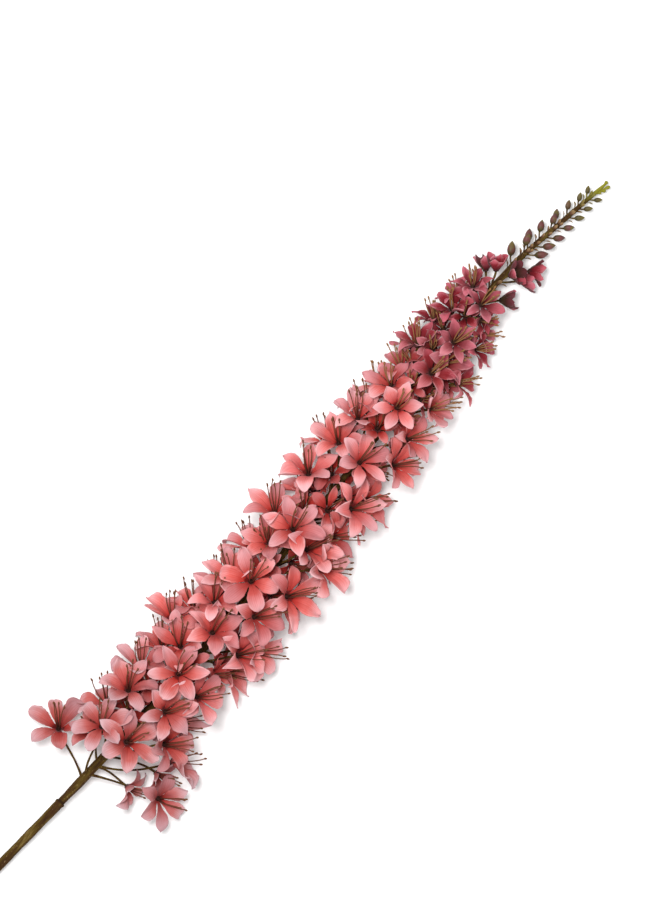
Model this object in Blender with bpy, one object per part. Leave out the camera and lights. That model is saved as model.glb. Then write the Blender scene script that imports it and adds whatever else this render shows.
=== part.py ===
"""Foxtail lily flower spike, an artificial spray, cut off and lying on a flat surface.

The spike lies along +X with its tip at the +X end, and the surface is z = 0. One brown body, the
stalk, holds the stem, the flower stalks, the stamens and the buds. Each bloom is a whorl of six
petals, threaded on the end of its flower stalk. Whorls whose petals meet are one solid.
"""

import math
import random
from dataclasses import dataclass

import bmesh
import bpy
from mathutils import Matrix, Vector
from mathutils.bvhtree import BVHTree

MM = 0.001
UP = Vector((0, 0, 1))

# The stem's centre line, as x, y and z in mm: y is the bend seen from above
STEM_ROUTE = (
    (-120, 7, 3.7),
    (0, 2.6, 10),
    (100, -2, 20),
    (200, -5, 25),
    (300, -4, 26),
    (430, 2, 25),
    (530, 9, 22),
    (600, 10.5, 16.5),
    (650, 4.5, 12),
    (697, -2, 8.5),
)
MIDDLE = Vector((290.0, -8.0, 0.0)) * MM  # the origin, under the middle of the whole spike
STEM_RADIUS = ((-120, 3.4), (69, 3.4), (100, 3.5), (125, 3.1), (300, 2.9), (520, 2.5), (600, 2.2), (697, 1.6))
SLEEVE_END = 69  # x in mm where the stem's lower sleeve ends
SLEEVE_LIP = 0.5  # how far the sleeve's lip stands out, mm
STEM_STEP = 50  # distance between the stem's sections, mm

# Open blooms, by the place x in mm where their flower stalk leaves the stem
PETALS = 6
PETAL_LENGTH = ((90, 25.5), (300, 25.0), (420, 23.0), (480, 19.5), (540, 17.0), (590, 13.0))
PETAL_WIDTH = 0.56  # of the length
PETAL_OUTLINE = ((0.45, -0.94), (0.74, -0.74), (1.0, 0.0), (0.74, 0.74), (0.45, 0.94))
RIB = 0.55  # the crest of a petal's midrib, as a share of its length
REACH = ((90, 28), (250, 25), (400, 21.5), (480, 17.5), (540, 14.5), (590, 9))  # out from the stem
RISE = ((90, 26), (400, 24), (480, 19), (540, 15), (590, 9))  # along the stem
SPACING = ((90, 7.6), (420, 7.6), (450, 5.8), (560, 5.0))
FIRST_ROOT, LAST_ROOT = 112, 545
GOLDEN_ANGLE = 137.508
MAUVE_FROM = 470  # blooms from here to the tip are mauve
LOWEST = 126  # blooms crowd into this angle from straight up, as the surface lifts them, degrees
TILT = 54  # from the stem's direction to where a bloom faces, degrees
UPTURN = 0.4  # how far a bloom turns up, away from the surface
THROAT_ANGLE, END_ANGLE = 38, 92  # a petal's arc, from the bloom's axis, degrees
HOLE = 1.65  # radius of the hole in a whorl, mm
NOTCH = 0.24  # the petals part at this share of their length
THICK = 0.8  # a petal along its midrib, mm

# Flower stalks and stamens, mm
ROOT_RADIUS, STALK_RADIUS = 1.3, 0.95
STALK_RINGS = ((0.3, 1.15), (0.7, 1.0))  # share of the way, and thickness there
KNOB_RADIUS, KNOB_LENGTH = 1.5, 2.6
STAMENS = 3
STAMEN_LENGTH = 0.95  # of the petal length
STAMEN_RADIUS, ANTHER_RADIUS = 0.42, 0.62
SWEEP = 0.75  # how far the stamens turn towards the tip and out to the side

# Half-open blooms and buds near the tip, mm. The pairs run from the first bud to the last
HALF_OPEN_LENGTH, HALF_OPEN_TILT, HALF_OPEN_ANGLES = 13.0, 48, (48, 60)
BUD_RUN = (600, 680)  # from the first bud to the last, x in mm where they leave the stem
BUD_LENGTH, BUD_RADIUS = (11.5, 6.5), (3.2, 1.8)
BUD_REACH = (6.5, 3.5)
BUD_LEAN = 0.75  # how far a bud points out, for its way along the stem
BUD_SIDES = 4
BUD_SWELL = ((0.0, 0.36), (0.32, 1.0), (0.66, 0.72))  # share of the length, and of the radius

LAYERS, LAYER = 7, 0.06  # pressed petals of unlike blooms lie in thin layers, mm
FLOOR_GAP = 0.5  # flower stalks, stamens and buds stay this far over the surface, mm
CLEAR = 0.35  # kept between a whorl and anything that isn't part of it, mm
NEIGHBOURS = 75  # blooms further apart than this along the stem can't meet, mm
FIRM = 6  # pairs of faces that cross before two whorls are taken to hold together
MOST_JOINED = 6  # whorls in one solid
TRIES = 60
SEED = 20


@dataclass
class Bloom:
    """One open bloom: where its stalk leaves the stem, where it ends and how its petals lie."""

    root: float
    azimuth: float
    reach: float
    rise: float
    tilt: float
    turn: float
    length: float
    end_angle: float
    lean: float = 0.0
    upturn: float = UPTURN
    stamens: int = STAMENS


# Blooms that stand out, by hand: root, azimuth from straight up to +Y, reach, rise, tilt, upturn
CHOSEN = (
    (93, 100, 40, 14, 50, 1.5),
    (97, 32, 32, 40, 64, 0.5),
    (99, -97, 52, 22, 66, 1.6),
    (108, -86, 40, 41, 30, 0.2),
    (122, -52, 33, 36, 50, 0.5),
    (142, 44, 30, 27, 50, 0.5),
    (172, -44, 28, 28, 46, 0.4),
    (178, 3, 30, 27, 80, 0.4),
    (203, 72, 33, 26, 40, 0.3),
    (217, -50, 29, 26, 46, 0.4),
    (222, 6, 27, 22, 50, 0.4),
    (248, -29, 27, 25, 60, 0.4),
    (266, 11, 30, 26, 80, 0.4),
    (274, -49, 29, 26, 50, 0.4),
    (305, -64, 30, 26, 46, 0.4),
    (316, 12, 29, 26, 70, 0.4),
    (316, 58, 28, 26, 46, 0.4),
    (356, 56, 27, 25, 50, 0.4),
    (356, -43, 27, 25, 50, 0.4),
    (388, -4, 27, 24, 50, 0.4),
    (391, 47, 26, 23, 56, 0.4),
    (402, -56, 27, 24, 50, 0.4),
    (413, 50, 25, 24, 44, 0.4),
    (425, -48, 26, 23, 50, 0.4),
    (437, 2, 28, 25, 84, 0.4),
    (456, -60, 22, 20, 50, 0.4),
    (479, -11, 20, 19, 60, 0.4),
    (486, -80, 24, 18, 40, 0.4),
    (490, 62, 19, 19, 46, 0.4),
    (508, -10, 19, 19, 70, 0.4),
    (514, 80, 18, 17, 46, 0.4),
    (516, -75, 19, 17, 50, 0.4),
    (531, 50, 16, 15, 60, 0.4),
    (548, -8, 14, 14, 60, 0.4),
    (554, 50, 15, 15, 50, 0.4),
)

# Closed buds, by hand: root and azimuth, first the row on the +Y side and then the other
BUDS = (
    (600, 78),
    (613, 50),
    (617.5, 100),
    (629, 76),
    (640, 50),
    (645, 96),
    (657, 78),
    (668, 64),
    (677, 84),
    (614, -82),
    (623, -66),
    (634, -86),
    (645, -70),
    (657, -84),
    (667, -68),
    (678, -82),
)

# Half-open blooms, by hand: root, azimuth, reach, rise
HALF_OPEN = (
    (565, -95, 11, 11),
    (574, 85, 12.5, 12),
    (579, 48, 9, 11.5),
    (598, -85, 12, 9.5),
    (584, -25, 8.5, 10),
    (586, -112, 13.5, 12),
)


def along(knots, x):
    """Smooth curve through hand-placed knots (x, values...), read at x."""
    low = max(0, min(len(knots) - 2, sum(1 for knot in knots[1:] if knot[0] <= x)))
    a, b = knots[low], knots[low + 1]
    before = knots[low - 1] if low else a
    after = knots[low + 2] if low + 2 < len(knots) else b
    span = b[0] - a[0]
    t = min(max((x - a[0]) / span, 0.0), 1.0)
    values = []
    for i in range(1, len(a)):
        slope_a = (b[i] - before[i]) / (b[0] - before[0]) * span
        slope_b = (after[i] - a[i]) / (after[0] - a[0]) * span
        rest = (1 - t) ** 2
        values.append(
            (1 + 2 * t) * rest * a[i]
            + t * rest * slope_a
            + t * t * (3 - 2 * t) * b[i]
            - t * t * (1 - t) * slope_b
        )
    return values if len(values) > 1 else values[0]


def stem_point(x):
    """A point of the stem's centre line, in metres."""
    y, z = along(STEM_ROUTE, x)
    return Vector((x, y, z)) * MM - MIDDLE


def stem_frame(x):
    """The point at x, and the directions along the stem, to its side (+Y) and up."""
    forward = (stem_point(x + 1) - stem_point(x - 1)).normalized()
    side = UP.cross(forward).normalized()
    return stem_point(x), forward, side, forward.cross(side)


def outward(x, azimuth):
    """The direction straight out from the stem at x, turned by azimuth from up to +Y."""
    _, _, side, up = stem_frame(x)
    angle = math.radians(azimuth)
    return up * math.cos(angle) + side * math.sin(angle)


def bloom_frame(bloom):
    """The whorl's centre, where it faces, and two directions across it."""
    out = outward(bloom.root, bloom.azimuth)
    point, forward, _, _ = stem_frame(bloom.root + bloom.rise)
    centre = point + out * bloom.reach * MM
    tilt = math.radians(bloom.tilt)
    facing = forward * math.cos(tilt) + out * math.sin(tilt)
    facing += UP * (bloom.upturn + max(0.0, -facing.z))
    facing = (Matrix.Rotation(math.radians(bloom.lean), 3, out) @ facing).normalized()
    across = out.cross(forward).cross(facing).normalized()
    return centre, facing, across, facing.cross(across)


def laid(point, height, away=Vector()):
    """The point, or where it lies if the surface stops it: at this height in mm and pushed away."""
    depth = max(height * MM - point.z, 0.0)
    return point + (away + UP) * depth


def petal_point(frame, bloom, petal, share, width, lift=0.0):
    """A point of a petal: share of the way along it, width to one side and lift off it, in mm."""
    centre, facing, across, upright = frame
    rng = random.Random(SEED * 1000 + int(bloom.root * 10) * 7 + petal)
    length = bloom.length * rng.uniform(0.93, 1.07)
    start = math.radians(THROAT_ANGLE)
    end = math.radians(bloom.end_angle + rng.uniform(-14, 14))
    bow = rng.uniform(0.05, 0.4)
    twist = math.radians(rng.uniform(-16, 16))
    step = math.tau / PETALS
    heading = math.radians(bloom.turn) + petal * step + rng.uniform(-0.045, 0.045) * min(1, share * 3)
    angle = start + (end - start) * share
    far = HOLE + length * (math.cos(start) - math.cos(angle)) / (end - start)
    high = length * (math.sin(angle) - math.sin(start)) / (end - start)
    out = across * math.cos(heading) + upright * math.sin(heading)
    over = facing * math.sin(angle) - out * math.cos(angle)
    level = facing.cross(out)
    side = level * math.cos(twist * share) + over * math.sin(twist * share)
    limit = 0.9 * far * math.tan(step / 2)
    width = math.copysign(min(abs(width), limit), width) if width else 0.0
    lift += bow * abs(width)
    return centre + (out * far + facing * high + side * width + over * lift) * MM


def whorl_mesh(bloom, room=0.0):
    """A whorl of petals: two skins, welded along the outline, with a hole for the stalk."""
    frame = bloom_frame(bloom)
    half = bloom.length * PETAL_WIDTH / 2 + room
    skin = THICK / 2 + room
    longer = room / bloom.length
    bm = bmesh.new()

    away = Vector((frame[1].x, frame[1].y, 0.0))
    floor = int(bloom.root * 10) % LAYERS * LAYER

    def vertex(petal, share, width, lift=0.0):
        point = petal_point(frame, bloom, petal, share, width, lift)
        return bm.verts.new(laid(point, floor + max(lift, 0.0), away))

    notches, holes, ribs, edges = [], [], [], []
    for petal in range(PETALS):
        after = (petal + 1) % PETALS
        a = petal_point(frame, bloom, petal, NOTCH, half)
        b = petal_point(frame, bloom, after, NOTCH, -half)
        notches.append(bm.verts.new(laid((a + b) / 2, floor, away)))
        rim = [(share + (0 if w else longer), w * half) for share, w in PETAL_OUTLINE]
        edges.append([vertex(petal, share, w) for share, w in rim])
        ribs.append([vertex(petal, RIB, 0.0, skin), vertex(petal, RIB, 0.0, -skin)])
        heading = math.radians(bloom.turn) + (petal + 0.5) * math.tau / PETALS
        out = frame[2] * math.cos(heading) + frame[3] * math.sin(heading)
        base = frame[0] + out * HOLE * MM
        holes.append([bm.verts.new(base + frame[1] * side * skin * MM) for side in (1, -1)])
    for petal in range(PETALS):
        before = petal - 1
        for face in range(2):
            rib, hole, hole_before = ribs[petal][face], holes[petal][face], holes[before][face]
            ring = [notches[before], *edges[petal], notches[petal], hole, hole_before]
            for a, b in zip(ring, ring[1:] + ring[:1]):
                bm.faces.new((a, b, rib) if face else (b, a, rib))
        bm.faces.new((holes[before][0], holes[petal][0], holes[petal][1], holes[before][1]))
    bmesh.ops.recalc_face_normals(bm, faces=bm.faces)
    return bm


def grow(bm, ring, heading, path):
    """Carry a ring of vertices along a path of (point, radius in mm) and skin the way."""
    centre = sum((v.co for v in ring), Vector()) / len(ring)
    spokes = [(v.co - centre).normalized() for v in ring]
    for point, radius in path:
        step = (point - centre).normalized()
        turn = heading.rotation_difference(step)
        spokes = [turn @ spoke for spoke in spokes]
        fresh = [bm.verts.new(laid(point + s * radius * MM, FLOOR_GAP)) for s in spokes]
        for i in range(len(ring)):
            j = (i + 1) % len(ring)
            bm.faces.new((ring[i], ring[j], fresh[j], fresh[i]))
        ring, centre, heading = fresh, point, step
    return ring, heading


def first_ring(bm, point, heading, radius, sides):
    """A capped ring of vertices round a point, square to the heading."""
    across = heading.orthogonal().normalized()
    ring = []
    for i in range(sides):
        spoke = Matrix.Rotation(math.tau * i / sides, 3, heading) @ across
        ring.append(bm.verts.new(laid(point + spoke * radius * MM, FLOOR_GAP)))
    bm.faces.new(ring[::-1])
    return ring


def bezier(points, t):
    """A cubic Bezier curve's point at t."""
    weights = ((1 - t) ** 3, 3 * t * (1 - t) ** 2, 3 * t * t * (1 - t), t**3)
    return sum((p * w for p, w in zip(points, weights)), Vector())


def stalk_route(bloom):
    """The flower stalk's curve, from inside the stem to the middle of the whorl."""
    centre, facing, _, _ = bloom_frame(bloom)
    point, forward, _, _ = stem_frame(bloom.root)
    out = outward(bloom.root, bloom.azimuth)
    reach = (centre - point).length
    leave = (out + forward * 0.55).normalized()
    return point + out * 0.4 * MM, point + leave * reach * 0.42, centre - facing * reach * 0.38, centre


def flower_stalk_mesh(bloom, room=0.0):
    """A three-sided flower stalk with its knob, and a stamen grown from each side of the knob."""
    centre, facing, _, _ = bloom_frame(bloom)
    route = stalk_route(bloom)
    bm = bmesh.new()
    heading = (route[1] - route[0]).normalized()
    ring = first_ring(bm, route[0], heading, ROOT_RADIUS, 3)
    path = [(bezier(route, t), STALK_RADIUS * k + room) for t, k in STALK_RINGS]
    path += [(centre, STALK_RADIUS + room), (centre + facing * KNOB_LENGTH * 0.5 * MM, KNOB_RADIUS)]
    ring, heading = grow(bm, ring, heading, path)
    apex = bm.verts.new(centre + facing * KNOB_LENGTH * MM)
    rng = random.Random(SEED * 77 + int(bloom.root * 10))
    _, forward, side, _ = stem_frame(bloom.root + bloom.rise)
    sweep = (forward + side * math.sin(math.radians(bloom.azimuth))).normalized() * SWEEP
    for i in range(3):
        base = (ring[i], ring[(i + 1) % 3], apex)
        if i >= bloom.stamens:
            bm.faces.new(base)
            continue
        middle = sum((v.co for v in base), Vector()) / 3
        spread = (middle - centre - facing * KNOB_LENGTH * 0.6 * MM).normalized()
        aim = (facing + sweep + spread * rng.uniform(0.1, 0.35)).normalized()
        length = bloom.length * STAMEN_LENGTH * rng.uniform(0.85, 1.1) * MM
        waist = middle + (facing + aim).normalized() * length * 0.3
        tip = middle + aim * length
        steps = [(waist, STAMEN_RADIUS + room), (tip, ANTHER_RADIUS + room)]
        end, _ = grow(bm, list(base), facing, steps)
        bm.faces.new(end)
    bmesh.ops.recalc_face_normals(bm, faces=bm.faces)
    return bm


def bud_mesh(root, azimuth, share):
    """A closed bud on its short stalk, with the share of the way from the first bud to the last."""
    point, forward, _, _ = stem_frame(root)
    out = outward(root, azimuth)
    length = BUD_LENGTH[0] + (BUD_LENGTH[1] - BUD_LENGTH[0]) * share
    radius = BUD_RADIUS[0] + (BUD_RADIUS[1] - BUD_RADIUS[0]) * share
    reach = BUD_REACH[0] + (BUD_REACH[1] - BUD_REACH[0]) * share
    base = point + (out + forward) * reach * MM
    aim = (out * BUD_LEAN + forward).normalized()
    bm = bmesh.new()
    heading = (base - point).normalized()
    ring = first_ring(bm, point, heading, 0.7, BUD_SIDES)
    path = [(base + aim * length * t * MM, radius * k) for t, k in BUD_SWELL]
    ring, _ = grow(bm, ring, heading, path)
    tip = bm.verts.new(laid(base + aim * length * MM, FLOOR_GAP))
    for i in range(BUD_SIDES):
        bm.faces.new((ring[i], ring[(i + 1) % BUD_SIDES], tip))
    bmesh.ops.recalc_face_normals(bm, faces=bm.faces)
    return bm


def squeeze(azimuth):
    """Turn an azimuth towards the top, so that no stalk points into the surface."""
    wrapped = (azimuth + 180) % 360 - 180
    return wrapped * LOWEST / 180


def make_bloom(root, azimuth, rng, **given):
    """A bloom of the size that belongs at root, turned and opened at random."""
    size = dict(
        reach=along(REACH, root) * rng.uniform(0.86, 1.14),
        rise=along(RISE, root) * rng.uniform(0.9, 1.1),
        tilt=TILT + rng.uniform(-14, 16),
        turn=rng.uniform(0, 60),
        length=along(PETAL_LENGTH, root) * rng.uniform(0.94, 1.06),
        end_angle=END_ANGLE + rng.uniform(-16, 14),
        lean=rng.uniform(-16, 16),
    )
    size.update(given)
    return Bloom(root=root, azimuth=azimuth, **size)


def rule_roots():
    """Where the flower stalks leave the stem, closer together towards the tip."""
    root = FIRST_ROOT
    while root < LAST_ROOT:
        yield root
        root += along(SPACING, root)


class Thicket:
    """The blooms placed so far, in groups that share petals, with search trees of their parts."""

    def __init__(self):
        self.blooms = []
        self.groups = []
        self.whorls = []
        self.stalks = []

    def crossed(self, bloom):
        """The groups whose petals the bloom's petals cross, or None if it has no room here."""
        near = tree(whorl_mesh(bloom, CLEAR))
        whorl = tree(whorl_mesh(bloom))
        stalk = tree(flower_stalk_mesh(bloom, CLEAR))
        here = bloom_frame(bloom)[0]
        groups = set()
        for i, other in enumerate(self.blooms):
            if abs(here.x - bloom_frame(other)[0].x) > NEIGHBOURS * MM:
                continue
            if near.overlap(self.stalks[i]) or stalk.overlap(self.whorls[i]):
                return None
            if near.overlap(self.whorls[i]):
                if len(whorl.overlap(self.whorls[i])) < FIRM:
                    return None
                groups.add(self.groups[i])
        return groups

    def add(self, bloom, groups):
        """Keep the bloom, in a group of its own or in one with all the groups that it crosses."""
        number = min(groups, default=len(self.blooms) + 1)
        self.groups = [number if group in groups else group for group in self.groups]
        self.groups.append(number)
        self.blooms.append(bloom)
        self.whorls.append(tree(whorl_mesh(bloom)))
        self.stalks.append(tree(flower_stalk_mesh(bloom)))

    def settle(self, candidates, join=False):
        """Add the first candidate that stands alone, or with join the first that crosses others."""
        spare = None
        for bloom in candidates:
            groups = self.crossed(bloom)
            if groups is None or sum(self.groups.count(group) for group in groups) >= MOST_JOINED:
                continue
            if bool(groups) == join:
                self.add(bloom, groups)
                return
            spare = spare or (bloom, groups)
        if spare:
            self.add(*spare)


def tree(bm):
    """A search tree of a mesh, which is then freed."""
    made = BVHTree.FromBMesh(bm)
    bm.free()
    return made


def place_blooms():
    """The chosen blooms, the half-open ones, then those that the golden angle adds."""
    thicket = Thicket()
    for i, (root, azimuth, reach, rise, tilt, upturn) in enumerate(CHOSEN):
        rng = random.Random(SEED + i)
        given = dict(reach=reach, rise=rise, tilt=tilt, upturn=upturn, lean=0.0)
        thicket.settle(make_bloom(root, azimuth, rng, **given) for _ in range(TRIES))
    for i, (root, azimuth, reach, rise) in enumerate(HALF_OPEN):
        rng = random.Random(SEED * 5 + i)
        given = dict(reach=reach, rise=rise, tilt=HALF_OPEN_TILT, length=HALF_OPEN_LENGTH)
        given.update(upturn=0.0, stamens=0)
        tries = (
            make_bloom(root, azimuth, rng, end_angle=rng.uniform(*HALF_OPEN_ANGLES), **given)
            for _ in range(TRIES)
        )
        thicket.settle(tries)
    for i, root in enumerate(rule_roots()):
        rng = random.Random(SEED * 100 + i)
        azimuth = squeeze(i * GOLDEN_ANGLE)
        tries = (
            make_bloom(root + rng.uniform(-2, 2), azimuth + rng.uniform(-14, 14), rng)
            for _ in range(TRIES)
        )
        thicket.settle(tries, join=i % 2 == 1)
    return thicket


def material(name, colour, roughness):
    """A Principled material with one colour."""
    made = bpy.data.materials.new(name)
    made.use_nodes = True
    shader = made.node_tree.nodes["Principled BSDF"]
    shader.inputs["Base Color"].default_value = (*colour, 1.0)
    shader.inputs["Roughness"].default_value = roughness
    return made


def solid(name, bm, collection, finish):
    """An object of a bmesh, in a collection and with a material."""
    mesh = bpy.data.meshes.new(name)
    bm.to_mesh(mesh)
    bm.free()
    mesh.materials.append(finish)
    made = bpy.data.objects.new(name, mesh)
    collection.objects.link(made)
    return made


def stem_solid(name, collection, finish):
    """The main stem with its sleeve: a tapering tube along the route."""
    first, last = STEM_ROUTE[0][0], STEM_ROUTE[-1][0]
    count = round((last - first) / STEM_STEP)
    stations = [first + (last - first) * i / count for i in range(count + 1)]
    stations = [x for x in stations if abs(x - SLEEVE_END) > 6]
    lip = (SLEEVE_END - 2.5, SLEEVE_END - 1.5, SLEEVE_END, SLEEVE_END + 0.8)
    stations = sorted([*stations, *lip])
    curve = bpy.data.curves.new(name, "CURVE")
    curve.dimensions = "3D"
    curve.bevel_depth = 1.0 * MM
    curve.bevel_resolution = 2
    curve.use_fill_caps = True
    spline = curve.splines.new("POLY")
    spline.points.add(len(stations) - 1)
    for point, x in zip(spline.points, stations):
        on_lip = lip[1] <= x <= lip[2]
        point.co = (*stem_point(x), 1.0)
        point.radius = along(STEM_RADIUS, x) + (SLEEVE_LIP if on_lip else 0.0)
    tube = bpy.data.objects.new(name + "_curve", curve)
    collection.objects.link(tube)
    bpy.context.view_layer.update()
    mesh = bpy.data.meshes.new_from_object(tube.evaluated_get(bpy.context.evaluated_depsgraph_get()))
    bpy.data.objects.remove(tube)
    bm = bmesh.new()
    bm.from_mesh(mesh)
    bpy.data.meshes.remove(mesh)
    bmesh.ops.remove_doubles(bm, verts=bm.verts, dist=0.01 * MM)
    bmesh.ops.recalc_face_normals(bm, faces=bm.faces)
    return solid(name, bm, collection, finish)


def join(base, parts):
    """Fuse the parts into the base with one Boolean union, and remove them."""
    scene = bpy.context.scene
    cutters = bpy.data.collections.new(base.name + "_parts")
    scene.collection.children.link(cutters)
    for part in parts:
        for collection in list(part.users_collection):
            collection.objects.unlink(part)
        cutters.objects.link(part)
    union = base.modifiers.new("union", "BOOLEAN")
    union.operation = "UNION"
    union.operand_type = "COLLECTION"
    union.collection = cutters
    union.solver = "MANIFOLD"
    bpy.context.view_layer.update()
    fused = bpy.data.meshes.new_from_object(
        base.evaluated_get(bpy.context.evaluated_depsgraph_get())
    )
    base.modifiers.clear()
    base.data = fused
    for part in list(cutters.objects):
        bpy.data.objects.remove(part)
    bpy.data.collections.remove(cutters)


def stalk_solid(blooms, parts, brown):
    """The stem with every flower stalk and bud fused to it."""
    stalk = stem_solid("stalk", parts, brown)
    growths = [solid(f"growth_{i}", flower_stalk_mesh(b), parts, brown) for i, b in enumerate(blooms)]
    first, last = BUD_RUN
    for i, (root, azimuth) in enumerate(BUDS):
        bud = bud_mesh(root, azimuth, (root - first) / (last - first))
        growths.append(solid(f"bud_{i}", bud, parts, brown))
    join(stalk, growths)


def whorl_solids(thicket, parts, coral, mauve):
    """A solid for each group of whorls, numbered in the order of their groups."""
    for number, group in enumerate(sorted(set(thicket.groups)), 1):
        members = [b for b, g in zip(thicket.blooms, thicket.groups) if g == group]
        finish = mauve if members[0].root > MAUVE_FROM else coral
        name = f"bloom_{number:02d}"
        whorls = [solid(f"{name}_{i}", whorl_mesh(b), parts, finish) for i, b in enumerate(members)]
        whorls[0].name = name
        if len(whorls) > 1:
            join(whorls[0], whorls[1:])


def build():
    """Clear the scene and model the spike."""
    for item in list(bpy.data.objects):
        bpy.data.objects.remove(item)
    parts = bpy.data.collections.new("foxtail_lily_spike")
    bpy.context.scene.collection.children.link(parts)
    brown = material("stalk_brown", (0.09, 0.05, 0.02), 0.6)
    coral = material("petal_coral", (0.75, 0.18, 0.17), 0.8)
    mauve = material("petal_mauve", (0.40, 0.08, 0.10), 0.8)
    thicket = place_blooms()
    stalk_solid(thicket.blooms, parts, brown)
    whorl_solids(thicket, parts, coral, mauve)


build()
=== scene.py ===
"""The looks of a foxtail lily flower spike, an artificial spray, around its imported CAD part.

The frame is the part's own, in metres: the spike lies along +X with its tip at the +X end, and the
surface is z = 0. The rule that places the blooms is the one that placed the solids, so that every
fine whorl of petals lies where its solid does. Lengths named in mm are turned into metres by MM.
"""

import math
import random
from dataclasses import dataclass
from functools import lru_cache

import bmesh
import bpy
from mathutils import Matrix, Vector
from mathutils.bvhtree import BVHTree


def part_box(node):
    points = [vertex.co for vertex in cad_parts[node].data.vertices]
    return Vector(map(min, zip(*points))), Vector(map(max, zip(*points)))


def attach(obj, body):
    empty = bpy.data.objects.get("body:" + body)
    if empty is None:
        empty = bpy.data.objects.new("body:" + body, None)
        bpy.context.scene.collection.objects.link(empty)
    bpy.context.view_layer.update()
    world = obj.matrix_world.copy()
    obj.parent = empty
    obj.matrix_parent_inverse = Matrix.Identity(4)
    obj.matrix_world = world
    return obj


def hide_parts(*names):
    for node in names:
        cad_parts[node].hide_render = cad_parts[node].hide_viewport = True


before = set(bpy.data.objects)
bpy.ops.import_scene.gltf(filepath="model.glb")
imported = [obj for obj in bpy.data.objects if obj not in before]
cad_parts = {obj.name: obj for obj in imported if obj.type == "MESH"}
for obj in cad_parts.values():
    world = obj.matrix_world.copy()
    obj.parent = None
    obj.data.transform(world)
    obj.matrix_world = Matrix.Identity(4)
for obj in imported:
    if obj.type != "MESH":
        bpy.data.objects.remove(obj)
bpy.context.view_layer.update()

bl_info = {
    "name": "Foxtail Lily Spike",
    "version": (1, 0, 0),
    "blender": (4, 5, 0),
    "location": "3D View > Sidebar > Foxtail Lily",
    "description": "Makes the petals, stamens, stem and buds of an artificial foxtail lily spike",
    "category": "Add Mesh",
}

MM = 0.001
UP = Vector((0, 0, 1))

# The stem's centre line, as x, y and z in mm: y is the bend seen from above
STEM_ROUTE = (
    (-120, 7, 3.7), (0, 2.6, 10), (100, -2, 20), (200, -5, 25), (300, -4, 26), (430, 2, 25),
    (530, 9, 22), (600, 10.5, 16.5), (650, 4.5, 12), (697, -2, 8.5),
)
MIDDLE = Vector((290.0, -8.0, 0.0)) * MM  # the origin, under the middle of the whole spike
STEM_RADIUS = (
    (-120, 3.4), (69, 3.4), (100, 3.5), (125, 3.1), (300, 2.9), (520, 2.5), (600, 2.2), (697, 1.6),
)
SLEEVE_END = 69  # x in mm where the stem's lower sleeve ends
# How far the stem swells round the sleeve's lip: distance from the sleeve's end and extra radius
SLEEVE_SHAPE = ((-4, 0.0), (-2.6, 0.1), (-1.8, 0.5), (-0.4, 0.5), (0.1, 0.1), (1.5, 0.0), (4, 0.0))

# Open blooms, by the place x in mm where their flower stalk leaves the stem
PETALS = 6
PETAL_LENGTH = ((90, 25.5), (300, 25.0), (420, 23.0), (480, 19.5), (540, 17.0), (590, 13.0))
PETAL_WIDTH = 0.56  # of the length
PETAL_OUTLINE = ((0.45, -0.94), (0.74, -0.74), (1.0, 0.0), (0.74, 0.74), (0.45, 0.94))
RIB = 0.55  # the crest of a solid petal's midrib, as a share of its length
REACH = ((90, 28), (250, 25), (400, 21.5), (480, 17.5), (540, 14.5), (590, 9))  # out from the stem
RISE = ((90, 26), (400, 24), (480, 19), (540, 15), (590, 9))  # along the stem
SPACING = ((90, 7.6), (420, 7.6), (450, 5.8), (560, 5.0))
FIRST_ROOT, LAST_ROOT = 112, 545
GOLDEN_ANGLE = 137.508
MAUVE_FROM = 470  # blooms from here to the tip are mauve
LOWEST = 126  # blooms crowd into this angle from straight up, as the surface lifts them, degrees
TILT = 54  # from the stem's direction to where a bloom faces, degrees
UPTURN = 0.4  # how far a bloom turns up, away from the surface
THROAT_ANGLE, END_ANGLE = 38, 92  # a petal's arc, from the bloom's axis, degrees
HOLE = 1.65  # radius of the hole in a whorl, mm
NOTCH = 0.24  # the petals part at this share of their length
THICK = 0.8  # a solid petal along its midrib, mm

# Flower stalks and stamens, mm
ROOT_RADIUS, STALK_RADIUS = 1.3, 0.95
STALK_RINGS = ((0.3, 1.15), (0.7, 1.0))  # share of the way, and thickness there
KNOB_RADIUS, KNOB_LENGTH = 1.5, 2.6
STAMENS = 3  # on a solid bloom
STAMEN_LENGTH = 0.95  # of the petal length
STAMEN_RADIUS, ANTHER_RADIUS = 0.42, 0.62
SWEEP = 0.75  # how far the stamens turn towards the tip and out to the side

# Half-open blooms and buds near the tip, mm. The pairs run from the first bud to the last
HALF_OPEN_LENGTH, HALF_OPEN_TILT, HALF_OPEN_ANGLES = 13.0, 48, (48, 60)
BUD_RUN = (600, 680)  # from the first bud to the last, x in mm where they leave the stem
BUD_LENGTH, BUD_RADIUS = (11.5, 6.5), (3.2, 1.8)
BUD_REACH = (6.5, 3.5)
BUD_LEAN = 0.75  # how far a bud points out, for its way along the stem

LAYERS, LAYER = 7, 0.06  # pressed petals of unlike blooms lie in thin layers, mm
FLOOR_GAP = 0.5  # flower stalks, stamens and buds stay this far over the surface, mm
CLEAR = 0.35  # kept between a whorl and anything that isn't part of it, mm
NEIGHBOURS = 75  # blooms further apart than this along the stem can't meet, mm
FIRM = 6  # pairs of faces that cross before two whorls are taken to hold together
MOST_JOINED = 6  # whorls in one solid
TRIES = 60
SEED = 20
PLACE_TOLERANCE = 0.002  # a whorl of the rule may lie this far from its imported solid, metres

# The stem's last shoots: how far before the end they leave it in mm, azimuth, spread and length
TIP_SHOOTS = (
    (6.0, 60, 0.08, 8.0), (11.5, -80, 0.3, 13.0), (10.5, -88, 0.55, 8.0), (13.0, -60, 0.5, 6.5),
)

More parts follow.
